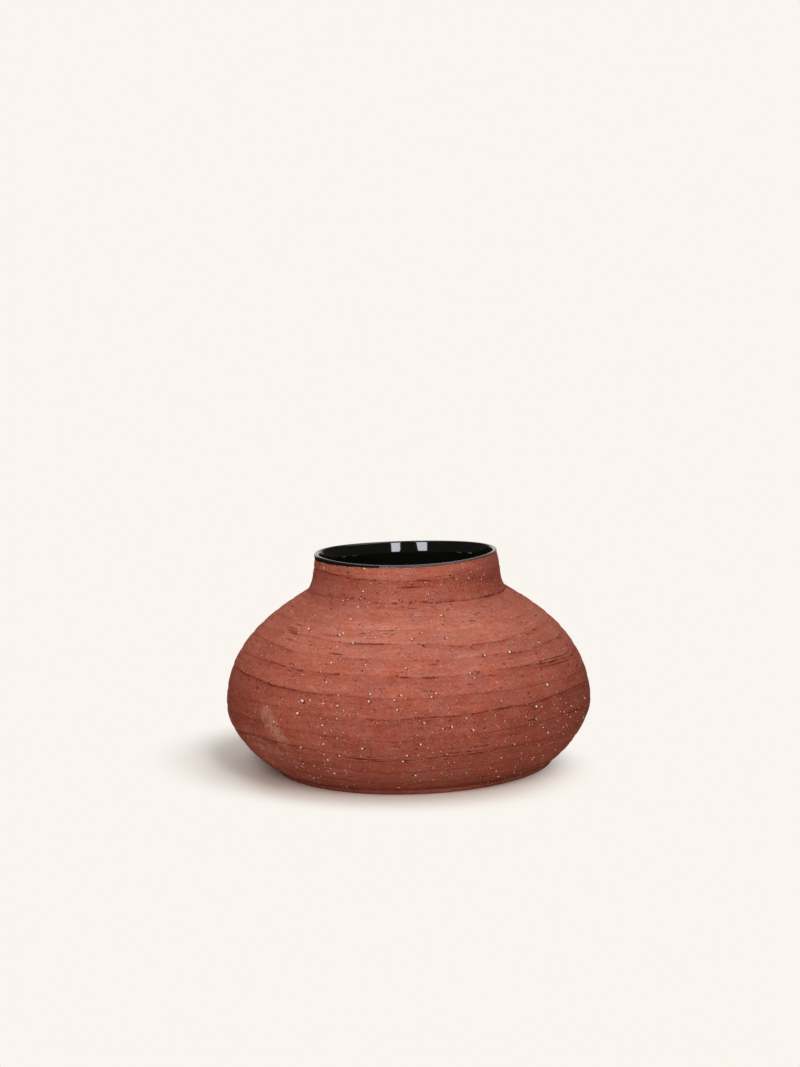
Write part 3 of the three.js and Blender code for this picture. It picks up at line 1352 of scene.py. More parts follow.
class ShapeTree(NodeTree):
    """A Geometry Nodes group with named inputs that ends in Realize Instances and Set Material."""

    def __init__(
        self, name: str, sizes: dict[str, float], seed: int, finish: bpy.types.Material
    ) -> None:
        """Starts the group.

        Args:
            name: The group's name.
            sizes: The names and values of its number inputs.
            seed: The value of its Seed input.
            finish: The material that it sets.
        """
        super().__init__(bpy.data.node_groups.new(name, "GeometryNodeTree"))
        for side in ("INPUT", "OUTPUT"):
            self.tree.interface.new_socket(
                "Geometry", in_out=side, socket_type="NodeSocketGeometry"
            )
        self.given: dict[str, Any] = {}
        for size_name, size in sizes.items():
            self.add_input(size_name, "NodeSocketFloat", size)
        self.add_input("Seed", "NodeSocketInt", seed)
        self.add_input("Material", "NodeSocketMaterial", finish)
        self.inputs = self.tree.nodes.new("NodeGroupInput")

    def add_input(self, name: str, kind: str, given: Any) -> None:
        """Adds a named input and keeps what a modifier will set it to."""
        socket = self.tree.interface.new_socket(name, in_out="INPUT", socket_type=kind)
        self.given[socket.identifier] = given

    def entry(self, name: str) -> NodeValue:
        """A named input."""
        return self.value(self.inputs, name)

    def named(self, name: str, kind: str = "FLOAT") -> NodeValue:
        """An attribute of the mesh."""
        settings = {"data_type": kind}
        return self.take("GeometryNodeInputNamedAttribute", "Attribute", settings, {"Name": name})

    def random(self, low: float | Triple, high: float | Triple) -> NodeValue:
        """A random number, or a vector, between two values, from the group's seed.

        Args:
            low: The least number, or the least of each part.
            high: The greatest.

        Returns:
            The random value.
        """
        kind = "FLOAT" if isinstance(low, float) else "FLOAT_VECTOR"
        sockets = {"Min": low, "Max": high, "Seed": self.entry("Seed")}
        return self.take("FunctionNodeRandomValue", "Value", {"data_type": kind}, sockets)

    def moved(self, geometry: NodeValue, offset: NodeValue) -> NodeValue:
        """A geometry with its points moved."""
        sockets = {"Geometry": geometry, "Offset": offset}
        return self.take("GeometryNodeSetPosition", 0, None, sockets)

    def end(self, geometry: NodeValue) -> None:
        """Realizes the instances, sets the material and leads to the output.

        Args:
            geometry: The geometry that was built.
        """
        real = self.take("GeometryNodeRealizeInstances", 0, None, {"Geometry": geometry})
        sockets = {"Geometry": real, "Material": self.entry("Material")}
        dressed = self.take("GeometryNodeSetMaterial", 0, None, sockets)
        self.node("NodeGroupOutput", None, {"Geometry": dressed})

    def shape(self, source: bpy.types.Mesh, name: str) -> bpy.types.Object:
        """Runs the group on a mesh.

        Args:
            source: The mesh that goes in.
            name: The name of the piece that comes out.

        Returns:
            The piece, a plain mesh without a modifier.
        """
        holder = add_object(f"{name}_source", source)
        modifier = holder.modifiers.new("shape", "NODES")
        modifier.node_group = self.tree
        for identifier, given in self.given.items():
            modifier[identifier] = given
        depsgraph = bpy.context.evaluated_depsgraph_get()
        evaluated = holder.evaluated_get(depsgraph)
        mesh = bpy.data.meshes.new_from_object(evaluated, depsgraph=depsgraph)
        mesh.name = name
        holder.modifiers.clear()
        bpy.data.objects.remove(holder)
        return add_object(name, mesh)


class FinishTree(NodeTree):
    """The nodes of one material."""

    def __init__(self, name: str) -> None:
        """Starts an empty material.

        Args:
            name: The material's name.
        """
        self.material = bpy.data.materials.new(name)
        self.material.use_nodes = True
        self.material.node_tree.nodes.clear()
        super().__init__(self.material.node_tree)

    def mix(self, factor: Any, first: Any, second: Any) -> NodeValue:
        """Mixes two colours."""
        sockets = {"Factor": factor, "A": first, "B": second}
        return self.take("ShaderNodeMix", "Result", {"data_type": "RGBA"}, sockets)

    def attribute(self, name: str, output: str = "Fac") -> NodeValue:
        """An attribute of the mesh, as a number or as a vector."""
        return self.take("ShaderNodeAttribute", output, {"attribute_name": name})

    def lie(self) -> NodeValue:
        """The coordinates that follow the clay: across, back, and the run, in metres."""
        return self.attribute("lie", "Vector")

    def place(self) -> NodeValue:
        """The coordinates of the object."""
        return self.take("ShaderNodeTexCoord", "Object")

    def bump(self, height: NodeValue, distance: float, strength: float) -> NodeValue:
        """A normal from a height of 0 to 1 that stands for a distance in metres."""
        sockets = {"Strength": strength, "Distance": distance, "Height": height}
        return self.take("ShaderNodeBump", "Normal", None, sockets)

    def surface(self, shader: NodeValue) -> bpy.types.Material:
        """Ends the material with a shader."""
        self.node("ShaderNodeOutputMaterial", None, {"Surface": shader})
        return self.material

    def principled(self, sockets: dict[str, Any]) -> bpy.types.Material:
        """Ends the material with a Principled shader."""
        return self.surface(self.take("ShaderNodeBsdfPrincipled", 0, None, sockets))


@dataclass(frozen=True)
class Dots:
    """Soft dots, one to a cell: their number to a metre, their rims, how rare, and how strong."""

    per_metre: float
    rim: Range
    rarity: Range
    strength: float

    def mask(self, tree: FinishTree) -> NodeValue:
        """Where the dots are.

        Args:
            tree: The material.

        Returns:
            0 beside the dots, and the strength on them.
        """
        sockets = {"Vector": tree.lie(), "Scale": self.per_metre}
        cells = tree.node("ShaderNodeTexVoronoi", {"voronoi_dimensions": "3D"}, sockets)
        colour = {"Color": tree.value(cells, "Color")}
        chance = tree.take("ShaderNodeSeparateColor", "Red", None, colour)
        dots = 1.0 - tree.value(cells, "Distance").between(*self.rim)
        return dots * chance.between(*self.rarity) * self.strength


@dataclass(frozen=True)
class Patch:
    """A pale patch of the clay, with an uneven edge, where the photograph shows it.

    It is spread round its pixels as far as its radius. Inside, the pattern breaks it up: the limits
    are those of the pattern's noise, and the shares how strong the patch is without and with it.
    """

    colour: Colour
    pixels: tuple[Pixel, ...]
    radius: float
    broken: Pattern
    limits: Range
    shares: Range
    edge: Pattern = Pattern(230.0, 4.0, 0.65, 8.0)
    raggedness: float = 1.6
    fade: Range = (0.2, 1.15)
    full: float = 1.2

    def paint(self, tree: FinishTree, colour: NodeValue, places: list[Vector]) -> NodeValue:
        """Paints the patch over a colour.

        Args:
            tree: The material.
            colour: The clay's colour.
            places: Where the pixels lie, in the clay's own coordinates.

        Returns:
            The colour with the patch.
        """
        uneven = (tree.noise(tree.lie(), self.edge) - 0.5) * self.raggedness
        total = 0.0
        for place in places:
            apart = (tree.lie() - tuple(place)).length() / (self.radius * MM)
            total = (1.0 - (apart + uneven).between(*self.fade)) + total
        broken = tree.noise(tree.lie(), self.broken).between(*self.limits)
        mask = total.between(0.0, self.full) * (self.shares[0] + self.shares[1] * broken)
        return tree.mix(mask, colour, self.colour)


@dataclass(frozen=True)
class ClayFinish:
    """Unglazed red clay with grog: matte, brushed along the turning, redder where it is darker.

    It takes the painted light and shade of the tone attribute, and paints shade in hollows, in
    pores and towards its sides.
    """

    tones: tuple[tuple[float, Colour], ...] = (
        (0.0, linear(98, 42, 30)),
        (0.25, linear(138, 70, 55)),
        (0.5, linear(169, 96, 80)),
        (0.75, linear(195, 123, 104)),
        (1.0, linear(218, 162, 144)),
    )
    grit: Pattern = Pattern(900.0, 3.0, 0.75, 6.0, strength=1.15)
    streak: Pattern = Pattern(1.0, 3.0, 0.6, 4.0, (35.0, 35.0, 420.0), 0.28)
    thread: Pattern = Pattern(1.0, 2.0, 0.6, 5.0, (160.0, 160.0, 1500.0), 0.3)
    broad: Pattern = Pattern(14.0, 3.0, 0.55, 1.0, strength=0.26)
    blotch: Pattern = Pattern(55.0, 3.0, 0.6, 2.0, (1.0, 1.0, 1.8), 0.3)
    mottle: Pattern = Pattern(220.0, 2.0, 0.6, 7.0, (1.0, 1.0, 1.5), 0.3)
    band: Pattern = Pattern(1.0, 3.0, 0.6, 3.0, (9.0, 9.0, 170.0), 0.2)
    ruddy: Pattern = Pattern(75.0, 3.0, 0.6, 9.0)
    ruddy_limits: Range = (0.4, 0.62)
    # Redder and darker in random patches, and towards the sides as painted shade
    ruddy_and_side_shade_shares: Triple = (1.045, 0.885, 0.795)
    left_side_shade: Triple = (0.03, 0.11, 1.1)
    right_side_shade: Triple = (0.05, 0.12, 0.5)
    bloom: Patch = Patch(
        linear(190, 136, 116),
        ((266, 714), (273, 726), (281, 739)),
        9.5,
        Pattern(480.0, 2.0, 0.6, 11.0),
        (0.36, 0.62),
        (0.28, 0.5),
    )
    frost: Patch = Patch(
        linear(200, 160, 140),
        ((251, 737), (264, 747), (278, 753), (291, 761), (268, 760), (289, 774), (312, 780)),
        13.0,
        Pattern(560.0, 3.0, 0.7, 12.0),
        (0.52, 0.62),
        (0.05, 0.75),
    )
    # Painted shade: dark dots that stand for small pores, without relief
    pore: Dots = Dots(520.0, (0.12, 0.3), (0.72, 0.95), 0.55)
    speck: Dots = Dots(430.0, (0.1, 0.24), (0.8, 0.97), 0.7)
    speck_colour: Colour = linear(208, 172, 154)
    # The painted shade of hollows and pores
    hollow_shade_colour: Colour = linear(106, 34, 20)
    hollow_shade_limits: Range = (0.06, 0.8)
    hollow_shade_share: float = 0.88
    relief_shares: Triple = (0.6, 0.25, 0.15)
    bump_depth: float = 0.0009
    bump_strength: float = 0.7
    roughness: Range = (0.84, 0.14)
    specular: float = 0.2

    def build(self, name: str, camera: PhotoCamera) -> bpy.types.Material:
        """Makes the material.

        Args:
            name: Its name.
            camera: Finds where the patches of the photograph lie.

        Returns:
            The material.
        """
        tree = FinishTree(name)
        fine, wide = (self.grit, self.streak, self.thread), (self.broad, self.blotch, self.mottle)
        looks = (*fine, *wide, self.band)
        noises = [tree.noise(tree.lie(), look) for look in looks]
        # The tone attribute brings the painted light and shade of the seams, of the height and of
        # the patches
        tone = 0.5 + tree.attribute("tone")
        for look, noise in zip(looks, noises):
            tone = tone + (noise - 0.5) * look.strength
        stops = {"stops": self.tones}
        colour = tree.take("ShaderNodeValToRGB", "Color", stops, {"Fac": tone})
        multiply, shares = {"operation": "MULTIPLY"}, {0: colour, 1: self.ruddy_and_side_shade_shares}
        redder = tree.take("ShaderNodeVectorMath", "Vector", multiply, shares)
        # Painted shade towards the sides, with random redder patches
        colour = tree.mix(self.ruddiness_and_side_shade(tree), colour, redder)
        # Painted shade of small pores
        colour = tree.mix(self.pore.mask(tree), colour, self.hollow_shade_colour)
        for patch in (self.bloom, self.frost):
            colour = patch.paint(tree, colour, camera.lies(patch.pixels))
        colour = tree.mix(self.speck.mask(tree), colour, self.speck_colour)
        # Painted shade in the hollows: the seams' grooves, the drags and the pits
        hollow = tree.attribute("hollow").between(*self.hollow_shade_limits) * self.hollow_shade_share
        colour = tree.mix(hollow, colour, self.hollow_shade_colour)
        relief = sum(noise * share for noise, share in zip(noises, self.relief_shares))
        return tree.principled(
            {
                "Base Color": colour,
                "Roughness": self.roughness[0] + self.roughness[1] * noises[0],
                "Normal": tree.bump(relief, self.bump_depth, self.bump_strength),
                "Specular IOR Level": self.specular,
            }
        )

    def ruddiness_and_side_shade(self, tree: FinishTree) -> NodeValue:
        """Where the clay is redder and darker: in random patches, and towards its left and right
        sides as painted shade.

        Args:
            tree: The material.

        Returns:
            How red the clay is, from 0 to 1.
        """
        across = tree.lie().part("X")
        left = (-across).between(*self.left_side_shade[:2]) * self.left_side_shade[2]
        right = across.between(*self.right_side_shade[:2]) * self.right_side_shade[2]
        patches = tree.noise(tree.lie(), self.ruddy).between(*self.ruddy_limits)
        return 1.0 - (1.0 - patches) * (1.0 - (left + right))


@dataclass(frozen=True)
class GrogFinish:
    """Fired grog: chalky, off-white grains."""

    light: Colour = linear(236, 226, 214)
    warm: Colour = linear(200, 166, 144)
    tone: Pattern = Pattern(420.0, 2.0, 0.5, 1.0)
    tone_limits: Range = (0.5, 0.68)
    grit: Pattern = Pattern(4000.0, 2.0, 0.6, 2.0)
    roughness: Range = (0.7, 0.2)
    bump_depth: float = 0.0002
    bump_strength: float = 0.5

    def build(self, name: str) -> bpy.types.Material:
        """Makes the material.

        Args:
            name: Its name.

        Returns:
            The material.
        """
        tree = FinishTree(name)
        warmth = tree.noise(tree.place(), self.tone).between(*self.tone_limits)
        grit = tree.noise(tree.place(), self.grit)
        return tree.principled(
            {
                "Base Color": tree.mix(warmth, self.light, self.warm),
                "Roughness": self.roughness[0] + self.roughness[1] * grit,
                "Normal": tree.bump(grit, self.bump_depth, self.bump_strength),
            }
        )


@dataclass(frozen=True)
class GlazeFinish:
    """Black glaze, a little green, that wears thin and grey where it leaves the lip."""

    black: Colour = linear(13, 15, 12)
    thin: Colour = linear(62, 56, 52)
    worn: Colour = linear(128, 112, 104)
    sheen: Colour = (0.92, 0.925, 1.0, 1.0)
    gloss: float = 0.05
    dull: float = 0.42
    dull_limits: Range = (0.2, 0.7)
    speckle: Pattern = Pattern(1400.0, 3.0, 0.7, 1.0)
    worn_limits: Range = (0.55, 0.72)
    ripple: Pattern = Pattern(1.0, 2.0, 0.5, 2.0, (30.0, 30.0, 60.0))
    bump_depth: float = 0.0006
    bump_strength: float = 0.25
    ior: float = 1.59

    def build(self, name: str) -> bpy.types.Material:
        """Makes the material.

        Args:
            name: Its name.

        Returns:
            The material.
        """
        tree = FinishTree(name)
        speckle = tree.noise(tree.place(), self.speckle)
        ripple = tree.noise(tree.place(), self.ripple)
        thin = tree.attribute("thin")
        colour = tree.mix(thin, self.black, self.thin)
        colour = tree.mix(thin * speckle.between(*self.worn_limits), colour, self.worn)
        return tree.principled(
            {
                "Base Color": colour,
                "Roughness": self.gloss + self.dull * thin * speckle.between(*self.dull_limits),
                "Normal": tree.bump(ripple, self.bump_depth, self.bump_strength),
                "IOR": self.ior,
                "Specular Tint": self.sheen,
            }
        )


class RingMesh:
    """A closed mesh of rows of points that each go once round the pot."""

    def __init__(self, columns: int) -> None:
        """Starts an empty mesh with a number of points to a row.

        Args:
            columns: How many points a row has.
        """
        self.columns = columns
        self.azimuths = azimuth_columns(columns)
        self.points: list[np.ndarray] = []
        self.carried: dict[str, list[np.ndarray]] = {}

    def turned(self, radii: Level, heights: Level) -> np.ndarray:
        """Rows of points from their radii and heights."""
        radii, heights, angles = np.broadcast_arrays(
            *np.atleast_2d(radii, heights), np.radians(self.azimuths)
        )
        return np.stack([radii * np.sin(angles), -radii * np.cos(angles), heights], axis=-1)

    def add(self, points: np.ndarray, carried: dict[str, Level]) -> None:
        """Adds rows of points, in millimetres, with the attributes that they carry.

        Args:
            points: The rows.
            carried: Each attribute's name and numbers, or its vectors where it is out or lie.
        """
        self.points.append(points)
        for name, given in carried.items():
            shape = points.shape if name in ("out", "lie") else points.shape[:-1]
            self.carried.setdefault(name, []).append(np.broadcast_to(given, shape))

    def finish(self, name: str, poles: Range | None, lean: Lean) -> bpy.types.Mesh:
        """Makes the mesh.

        Args:
            name: Its name.
            poles: The heights on the axis that the first and the last row close on, or None where
                the last row meets the first.
            lean: Moves the points to where the finished pot has them.

        Returns:
            The mesh, in metres.
        """
        points = np.concatenate(self.points)
        rows, count = len(points), points.shape[0] * self.columns
        flat = points.reshape(-1, 3)
        across = np.arange(self.columns)
        after = (across + 1) % self.columns
        last = rows if poles is None else rows - 1
        low = (np.arange(last) * self.columns)[:, None]
        high = ((np.arange(last) + 1) % rows * self.columns)[:, None]
        quads = np.stack([low + across, low + after, high + after, high + across], axis=-1)
        quads = quads.reshape(-1, 4)
        fans = np.zeros((0, 3), dtype=int)
        if poles is not None:
            flat = np.concatenate([flat, [[0.0, 0.0, poles[0]], [0.0, 0.0, poles[1]]]])
            end = count - self.columns
            pole = np.full(self.columns, count)
            bottom = np.stack([pole, after, across], axis=-1)
            top = np.stack([end + across, end + after, pole + 1], axis=-1)
            fans = np.concatenate([bottom, top])
        mesh = bpy.data.meshes.new(name)
        placed = lean.lean(flat) * MM
        mesh.vertices.add(len(placed))
        mesh.vertices.foreach_set("co", placed.ravel())
        corners = np.concatenate([quads.ravel(), fans.ravel()])
        mesh.loops.add(len(corners))
        mesh.loops.foreach_set("vertex_index", corners)
        starts = [np.arange(len(quads)) * 4, len(quads) * 4 + np.arange(len(fans)) * 3]
        mesh.polygons.add(len(quads) + len(fans))
        mesh.polygons.foreach_set("loop_start", np.concatenate(starts))
        for carried, parts in self.carried.items():
            values = np.concatenate(parts).reshape(count, -1)
            values = np.concatenate([values, np.zeros((len(placed) - count, values.shape[1]))])
            kind, slot = ("FLOAT", "value") if values.shape[1] == 1 else ("FLOAT_VECTOR", "vector")
            mesh.attributes.new(carried, kind, "POINT").data.foreach_set(slot, values.ravel())
        mesh.update(calc_edges=True)
        mesh.shade_smooth()
        return mesh


@dataclass
class ClayWork:
    """The body of the pot: the slab, the wall's coils, the neck's and the lip's, each a piece."""

    outline: Outline
    lean: Lean
    skin: ClaySkin
    clay: bpy.types.Material
    grog: bpy.types.Material
    row_gap: float = 0.36
    row_crowding: float = 0.035
    least_rows: int = 8
    round_steps: int = 12
    wobble_height: float = 0.5
    wobble_size: float = 45.0
    wobble: Pattern = Pattern(1.0, 1.0, 0.4, 0.0)
    streak_height: float = 0.09
    streak_length: float = 16.0
    streak_width: float = 1.3
    streak: Pattern = Pattern(1.0, 3.0, 0.6, 0.0)
    grain_height: float = 0.1
    grain_size: float = 1.1
    grain: Pattern = Pattern(1.0, 2.0, 0.6, 0.0)
    grog_density: float = 30000.0
    smallest_grog: float = 0.18
    largest_grog: float = 0.58
    grog_rarity: float = 3.5
    grog_stretch: tuple[Triple, Triple] = ((0.75, 0.55, 0.55), (1.5, 1.0, 1.0))
    grog_lump: Pattern = Pattern(1.3, 1.0, 0.5, 3.0)
    grog_level: float = 0.08
    grog_low: float = 0.38
    grog_below: float = 110.0
    grog_right: float = 0.18
    grog_right_from: float = 0.2
    grog_patches: Ripple = Ripple(0.5, range(2, 9), 12)
    grog_patchy: float = 0.15
    grog_limits: Range = (0.03, 1.0)
    under_rings: tuple[float, ...] = (0.25, 0.5, 0.75, 0.95, 1.0)
    chamfer_rings: Triple = (0.35, 0.75, 1.0)
    # Painted shade on the foot's band and groove, and painted light on the band's right side
    foot_shade: float = -0.17
    foot_light: float = 0.14
    foot_turn: float = 62.0
    foot_reach: float = 28.0
    foot_rest: float = 1.5
    lip_rest: float = 4.0
    groove_left: float = 0.45
    sharp_angle: float = 62.0
    seed: int = 5

    def build(self) -> None:
        """Makes every clay piece and the grog that sits in it."""
        shaper, strewer = self.surface_tree(), self.grog_tree()
        for index, node in enumerate(CLAY_NODES):
            piece = shaper.shape(self.ring(node, index), f"{node}_clay")
            piece.data.set_sharp_from_angle(angle=math.radians(self.sharp_angle))
            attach(piece, "root")
            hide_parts(node)
            grog = strewer.shape(self.grog_source(piece, index), f"{node}_grog")
            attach(grog, "root")
            for made in (piece, grog):
                log.info("%s: %d faces", made.name, len(made.data.polygons))

    def ring(self, node: str, index: int) -> bpy.types.Mesh:
        """The mesh of a clay piece before its surface is worked.

        Args:
            node: The CAD node that it stands for.
            index: Its place from the bottom, 0 being the slab.

        Returns:
            The mesh.
        """
        ring = RingMesh(COLUMNS)
        low, high = self.bounds(index)
        count = max(self.least_rows, math.ceil(float(np.mean(high - low)) / self.row_gap))
        share = np.linspace(0.0, 1.0, count + 1)
        share = (share - self.row_crowding * np.sin(math.tau * share))[:, None]
        is_slab, is_lip = index == 0, node == "lip_coil"
        if is_slab:
            self.add_foot(ring)
        runs = low * (1.0 - share) + high * share
        self.add_outside(ring, runs, None if is_slab else index - 1, None if is_lip else index)
        if is_slab:
            inside = self.outline.floor_inside(0.0)[::-1]
        else:
            inside = self.outline.coil_inside(node, 0.0)[::-1]
        if is_lip:
            inside = self.outline.over_lip(self.round_steps)[1:] + inside[1:]
        for radius, height in inside:
            self.add_plain(ring, radius, height)
        poles = (0.0, self.outline.floor_thickness) if is_slab else None
        return ring.finish(node, poles, self.lean)

    def bounds(self, index: int) -> tuple[np.ndarray, np.ndarray]:
        """The runs of a clay piece's lower and upper edge at each column.

        Args:
            index: The piece's place from the bottom.

        Returns:
            The lower edge's and the upper edge's.
        """
        lines = self.skin.seams.lines[0]
        low = lines[index - 1] if index else np.zeros(COLUMNS)
        top = np.full(COLUMNS, self.outline.runs[-1])
        return low, lines[index] if index < len(lines) else top

    @staticmethod
    def add_plain(ring: RingMesh, radius: float, height: float, tone: Level = 0.0) -> None:
        """Adds a plain row that no tool worked.

        Args:
            ring: The mesh.
            radius: The row's radius.
            height: Its height.
            tone: How much paler the clay is painted there; the foot's band takes painted light and
                shade.
        """
        points = ring.turned(radius, height)
        carried = {"hollow": 0.0, "grog_share": 0.0, "tone": tone, "out": 0.0, "lie": points * MM}
        ring.add(points, carried)

    def add_foot(self, ring: RingMesh) -> None:
        """Adds the underside, the trimmed band of the foot and the groove over it, with painted
        shade on the band and in the groove, and painted light on the band's right.

        Args:
            ring: The slab's mesh.
        """
        outline = self.outline
        edge = outline.foot_radius - outline.foot_chamfer
        # Painted shade on the foot, with painted light on its right side
        light = np.exp(-((around(ring.azimuths, self.foot_turn) / self.foot_reach) ** 2))
        tone = self.foot_shade + (self.foot_light - self.foot_shade) * light
        for share in self.under_rings:
            self.add_plain(ring, edge * share, 0.0)
        for share in self.chamfer_rings:
            reach = math.sin(share * math.pi / 2.0)
            height = outline.foot_chamfer * (1.0 - math.sqrt(1.0 - reach**2))
            self.add_plain(ring, edge + outline.foot_chamfer * reach, height, tone)
        self.add_plain(ring, outline.foot_radius, outline.foot_band, tone)
        middle = outline.foot_band + outline.foot_groove_height / 2.0
        radius = outline.foot_radius - self.groove_left * outline.foot_groove_depth
        self.add_plain(ring, radius, middle, self.foot_shade)

    def add_outside(
        self, ring: RingMesh, runs: np.ndarray, low: int | None, high: int | None
    ) -> None:
        """Adds the rows of the outside between two seams, with their relief.

        Args:
            ring: The mesh.
            runs: The runs of the points, row by row.
            low: The number of the seam below, or None.
            high: The number of the seam above, or None.
        """
        offset, hollow, tone = self.skin.relief(low, high, runs)
        radii, heights = self.outline.place(runs)
        out_radius, out_height = self.outline.outward(runs)
        rest = smooth((self.outline.runs[-1] - runs) / self.lip_rest)
        worked = rest * smooth(runs / self.foot_rest)
        offset = offset * worked
        carried = {
            "hollow": hollow * rest,
            "grog_share": self.grog_share(heights, ring.azimuths) * rest,
            "tone": tone,
            "out": ring.turned(out_radius, out_height) * worked[..., None],
            "lie": ring.turned(radii, runs) * MM,
        }
        ring.add(ring.turned(radii + offset * out_radius, heights + offset * out_height), carried)

    def grog_share(self, heights: np.ndarray, azimuths: np.ndarray) -> np.ndarray:
        """How thickly the grog lies, from 0 to 1: most low down and to the right.

        Args:
            heights: How high the points lie.
            azimuths: Their azimuths.

        Returns:
            The share at each point.
        """
        low = 1.0 - smooth(heights / self.grog_below)
        start = self.grog_right_from
        right = smooth((np.sin(np.radians(azimuths)) + start) / (1.0 + start))
        patches = self.grog_patches.height + self.grog_patches.line(azimuths)
        share = self.grog_level + self.grog_low * low + self.grog_right * right * low
        return np.clip(share + self.grog_patchy * patches, *self.grog_limits)

    def surface_tree(self) -> ShapeTree:
        """The group that works the clay's surface: a hand's wobble, streaks of turning and grit.

        Returns:
            The group.
        """
        sizes = {
            "Wobble Height": self.wobble_height * MM,
            "Wobble Size": self.wobble_size * MM,
            "Streak Height": self.streak_height * MM,
            "Streak Length": self.streak_length * MM,
            "Streak Width": self.streak_width * MM,
            "Grain Height": self.grain_height * MM,
            "Grain Size": self.grain_size * MM,
        }
        tree = ShapeTree("worked_clay", sizes, self.seed, self.clay)
        lie, out = tree.named("lie", "FLOAT_VECTOR"), tree.named("out", "FLOAT_VECTOR")
        reaches = {"X": "Streak Length", "Y": "Streak Length", "Z": "Streak Width"}
        parts = {axis: lie.part(axis) / tree.entry(size) for axis, size in reaches.items()}
        stretched = tree.take("ShaderNodeCombineXYZ", "Vector", None, parts)
        seed = tree.entry("Seed")
        layers = {
            "Wobble Height": tree.noise(lie, self.wobble, 1.0 / tree.entry("Wobble Size"), seed),
            "Streak Height": tree.noise(stretched, self.streak, None, seed),
            "Grain Height": tree.noise(lie, self.grain, 1.0 / tree.entry("Grain Size"), seed),
        }
        lift = sum((noise - 0.5) * tree.entry(size) * 2.0 for size, noise in layers.items())
        tree.end(tree.moved(tree.entry("Geometry"), out.scaled(lift)))
        return tree

    def grog_tree(self) -> ShapeTree:
        """The group that strews grains over a clay piece and sets the seen ones in their places.

        Returns:
            The group.
        """
        sizes = {
            "Density": self.grog_density,
            "Smallest Grain": self.smallest_grog * MM,
            "Largest Grain": self.largest_grog * MM,
        }
        tree = ShapeTree("strewn_grog", sizes, self.seed, self.grog)
        clay, smallest = tree.entry("Geometry"), tree.entry("Smallest Grain")
        density = tree.entry("Density") * tree.named("grog_share")
        sockets = {"Mesh": clay, "Density": density, "Seed": tree.entry("Seed")}
        settings = {"distribute_method": "RANDOM"}
        strewn = tree.take("GeometryNodeDistributePointsOnFaces", "Points", settings, sockets)
        spread = tree.entry("Largest Grain") - smallest
        radius = smallest + spread * tree.random(0.0, 1.0) ** self.grog_rarity
        settings = {"data_type": "FLOAT", "domain": "POINT"}
        sockets = {"Geometry": strewn, "Name": "grain_radius", "Value": radius}
        sized = tree.take("GeometryNodeStoreNamedAttribute", 0, settings, sockets)
        settings = {"data_type": "FLOAT", "operation": "GREATER_THAN"}
        sockets = {"A": tree.named("grain_radius"), "B": 0.0}
        is_seen = tree.take("FunctionNodeCompare", 0, settings, sockets)
        sockets = {"Mesh": clay, "Selection": is_seen}
        seen = tree.take("GeometryNodeMeshToPoints", 0, None, sockets)
        both = tree.node("GeometryNodeJoinGeometry")
        for points in (sized, seen):
            tree.tree.links.new(points.socket, both.inputs[0])
        sockets = {
            "Points": tree.value(both),
            "Instance": self.grain_shape(tree),
            "Rotation": tree.random((0.0, 0.0, 0.0), (math.tau, math.tau, math.tau)),
            "Scale": tree.random(*self.grog_stretch).scaled(tree.named("grain_radius")),
        }
        tree.end(tree.take("GeometryNodeInstanceOnPoints", 0, None, sockets))
        return tree

    def grain_shape(self, tree: ShapeTree) -> NodeValue:
        """One rough grain with a radius of about 1.

        Args:
            tree: The group that it is for.

        Returns:
            The grain's mesh.
        """
        sockets = {"Radius": 1.0, "Subdivisions": 2}
        ball = tree.take("GeometryNodeMeshIcoSphere", "Mesh", None, sockets)
        rough = tree.noise(tree.take("GeometryNodeInputPosition"), self.grog_lump)
        return tree.moved(ball, tree.take("GeometryNodeInputNormal").scaled(rough - 0.5))

    def grog_source(self, piece: bpy.types.Object, index: int) -> bpy.types.Mesh:
        """A copy of a clay piece's mesh with a loose point for each seen grain.

        Args:
            piece: The worked clay piece.
            index: Its place from the bottom.

        Returns:
            The mesh, with the grains' radii as an attribute that is 0 elsewhere.
        """
        mesh = piece.data.copy()
        count = len(mesh.vertices)
        places, lies = np.zeros(count * 3), np.zeros(count * 3)
        mesh.vertices.foreach_get("co", places)
        mesh.attributes["lie"].data.foreach_get("vector", lies)
        places, lies = places.reshape(-1, 3), lies.reshape(-1, 3) / MM
        low, high = self.bounds(index)
        spots, radii = [], []
        for grain in self.skin.grains.grains:
            column = round((grain.azimuth + 180.0) * COLUMNS / 360.0) % COLUMNS
            if not low[column] <= grain.run < high[column]:
                continue
            spot = self.outline.lie(grain.azimuth, grain.run)
            spots.append(places[int(np.argmin(np.sum((lies - spot) ** 2, axis=1)))])
            radii.append(grain.radius * MM)
        mesh.vertices.add(len(spots))
        flat = np.concatenate([places, np.array(spots).reshape(-1, 3)]).ravel()
        mesh.vertices.foreach_set("co", flat)
        sizes = np.concatenate([np.zeros(count), radii])
        mesh.attributes.new("grain_radius", "FLOAT", "POINT").data.foreach_set("value", sizes)
        return mesh


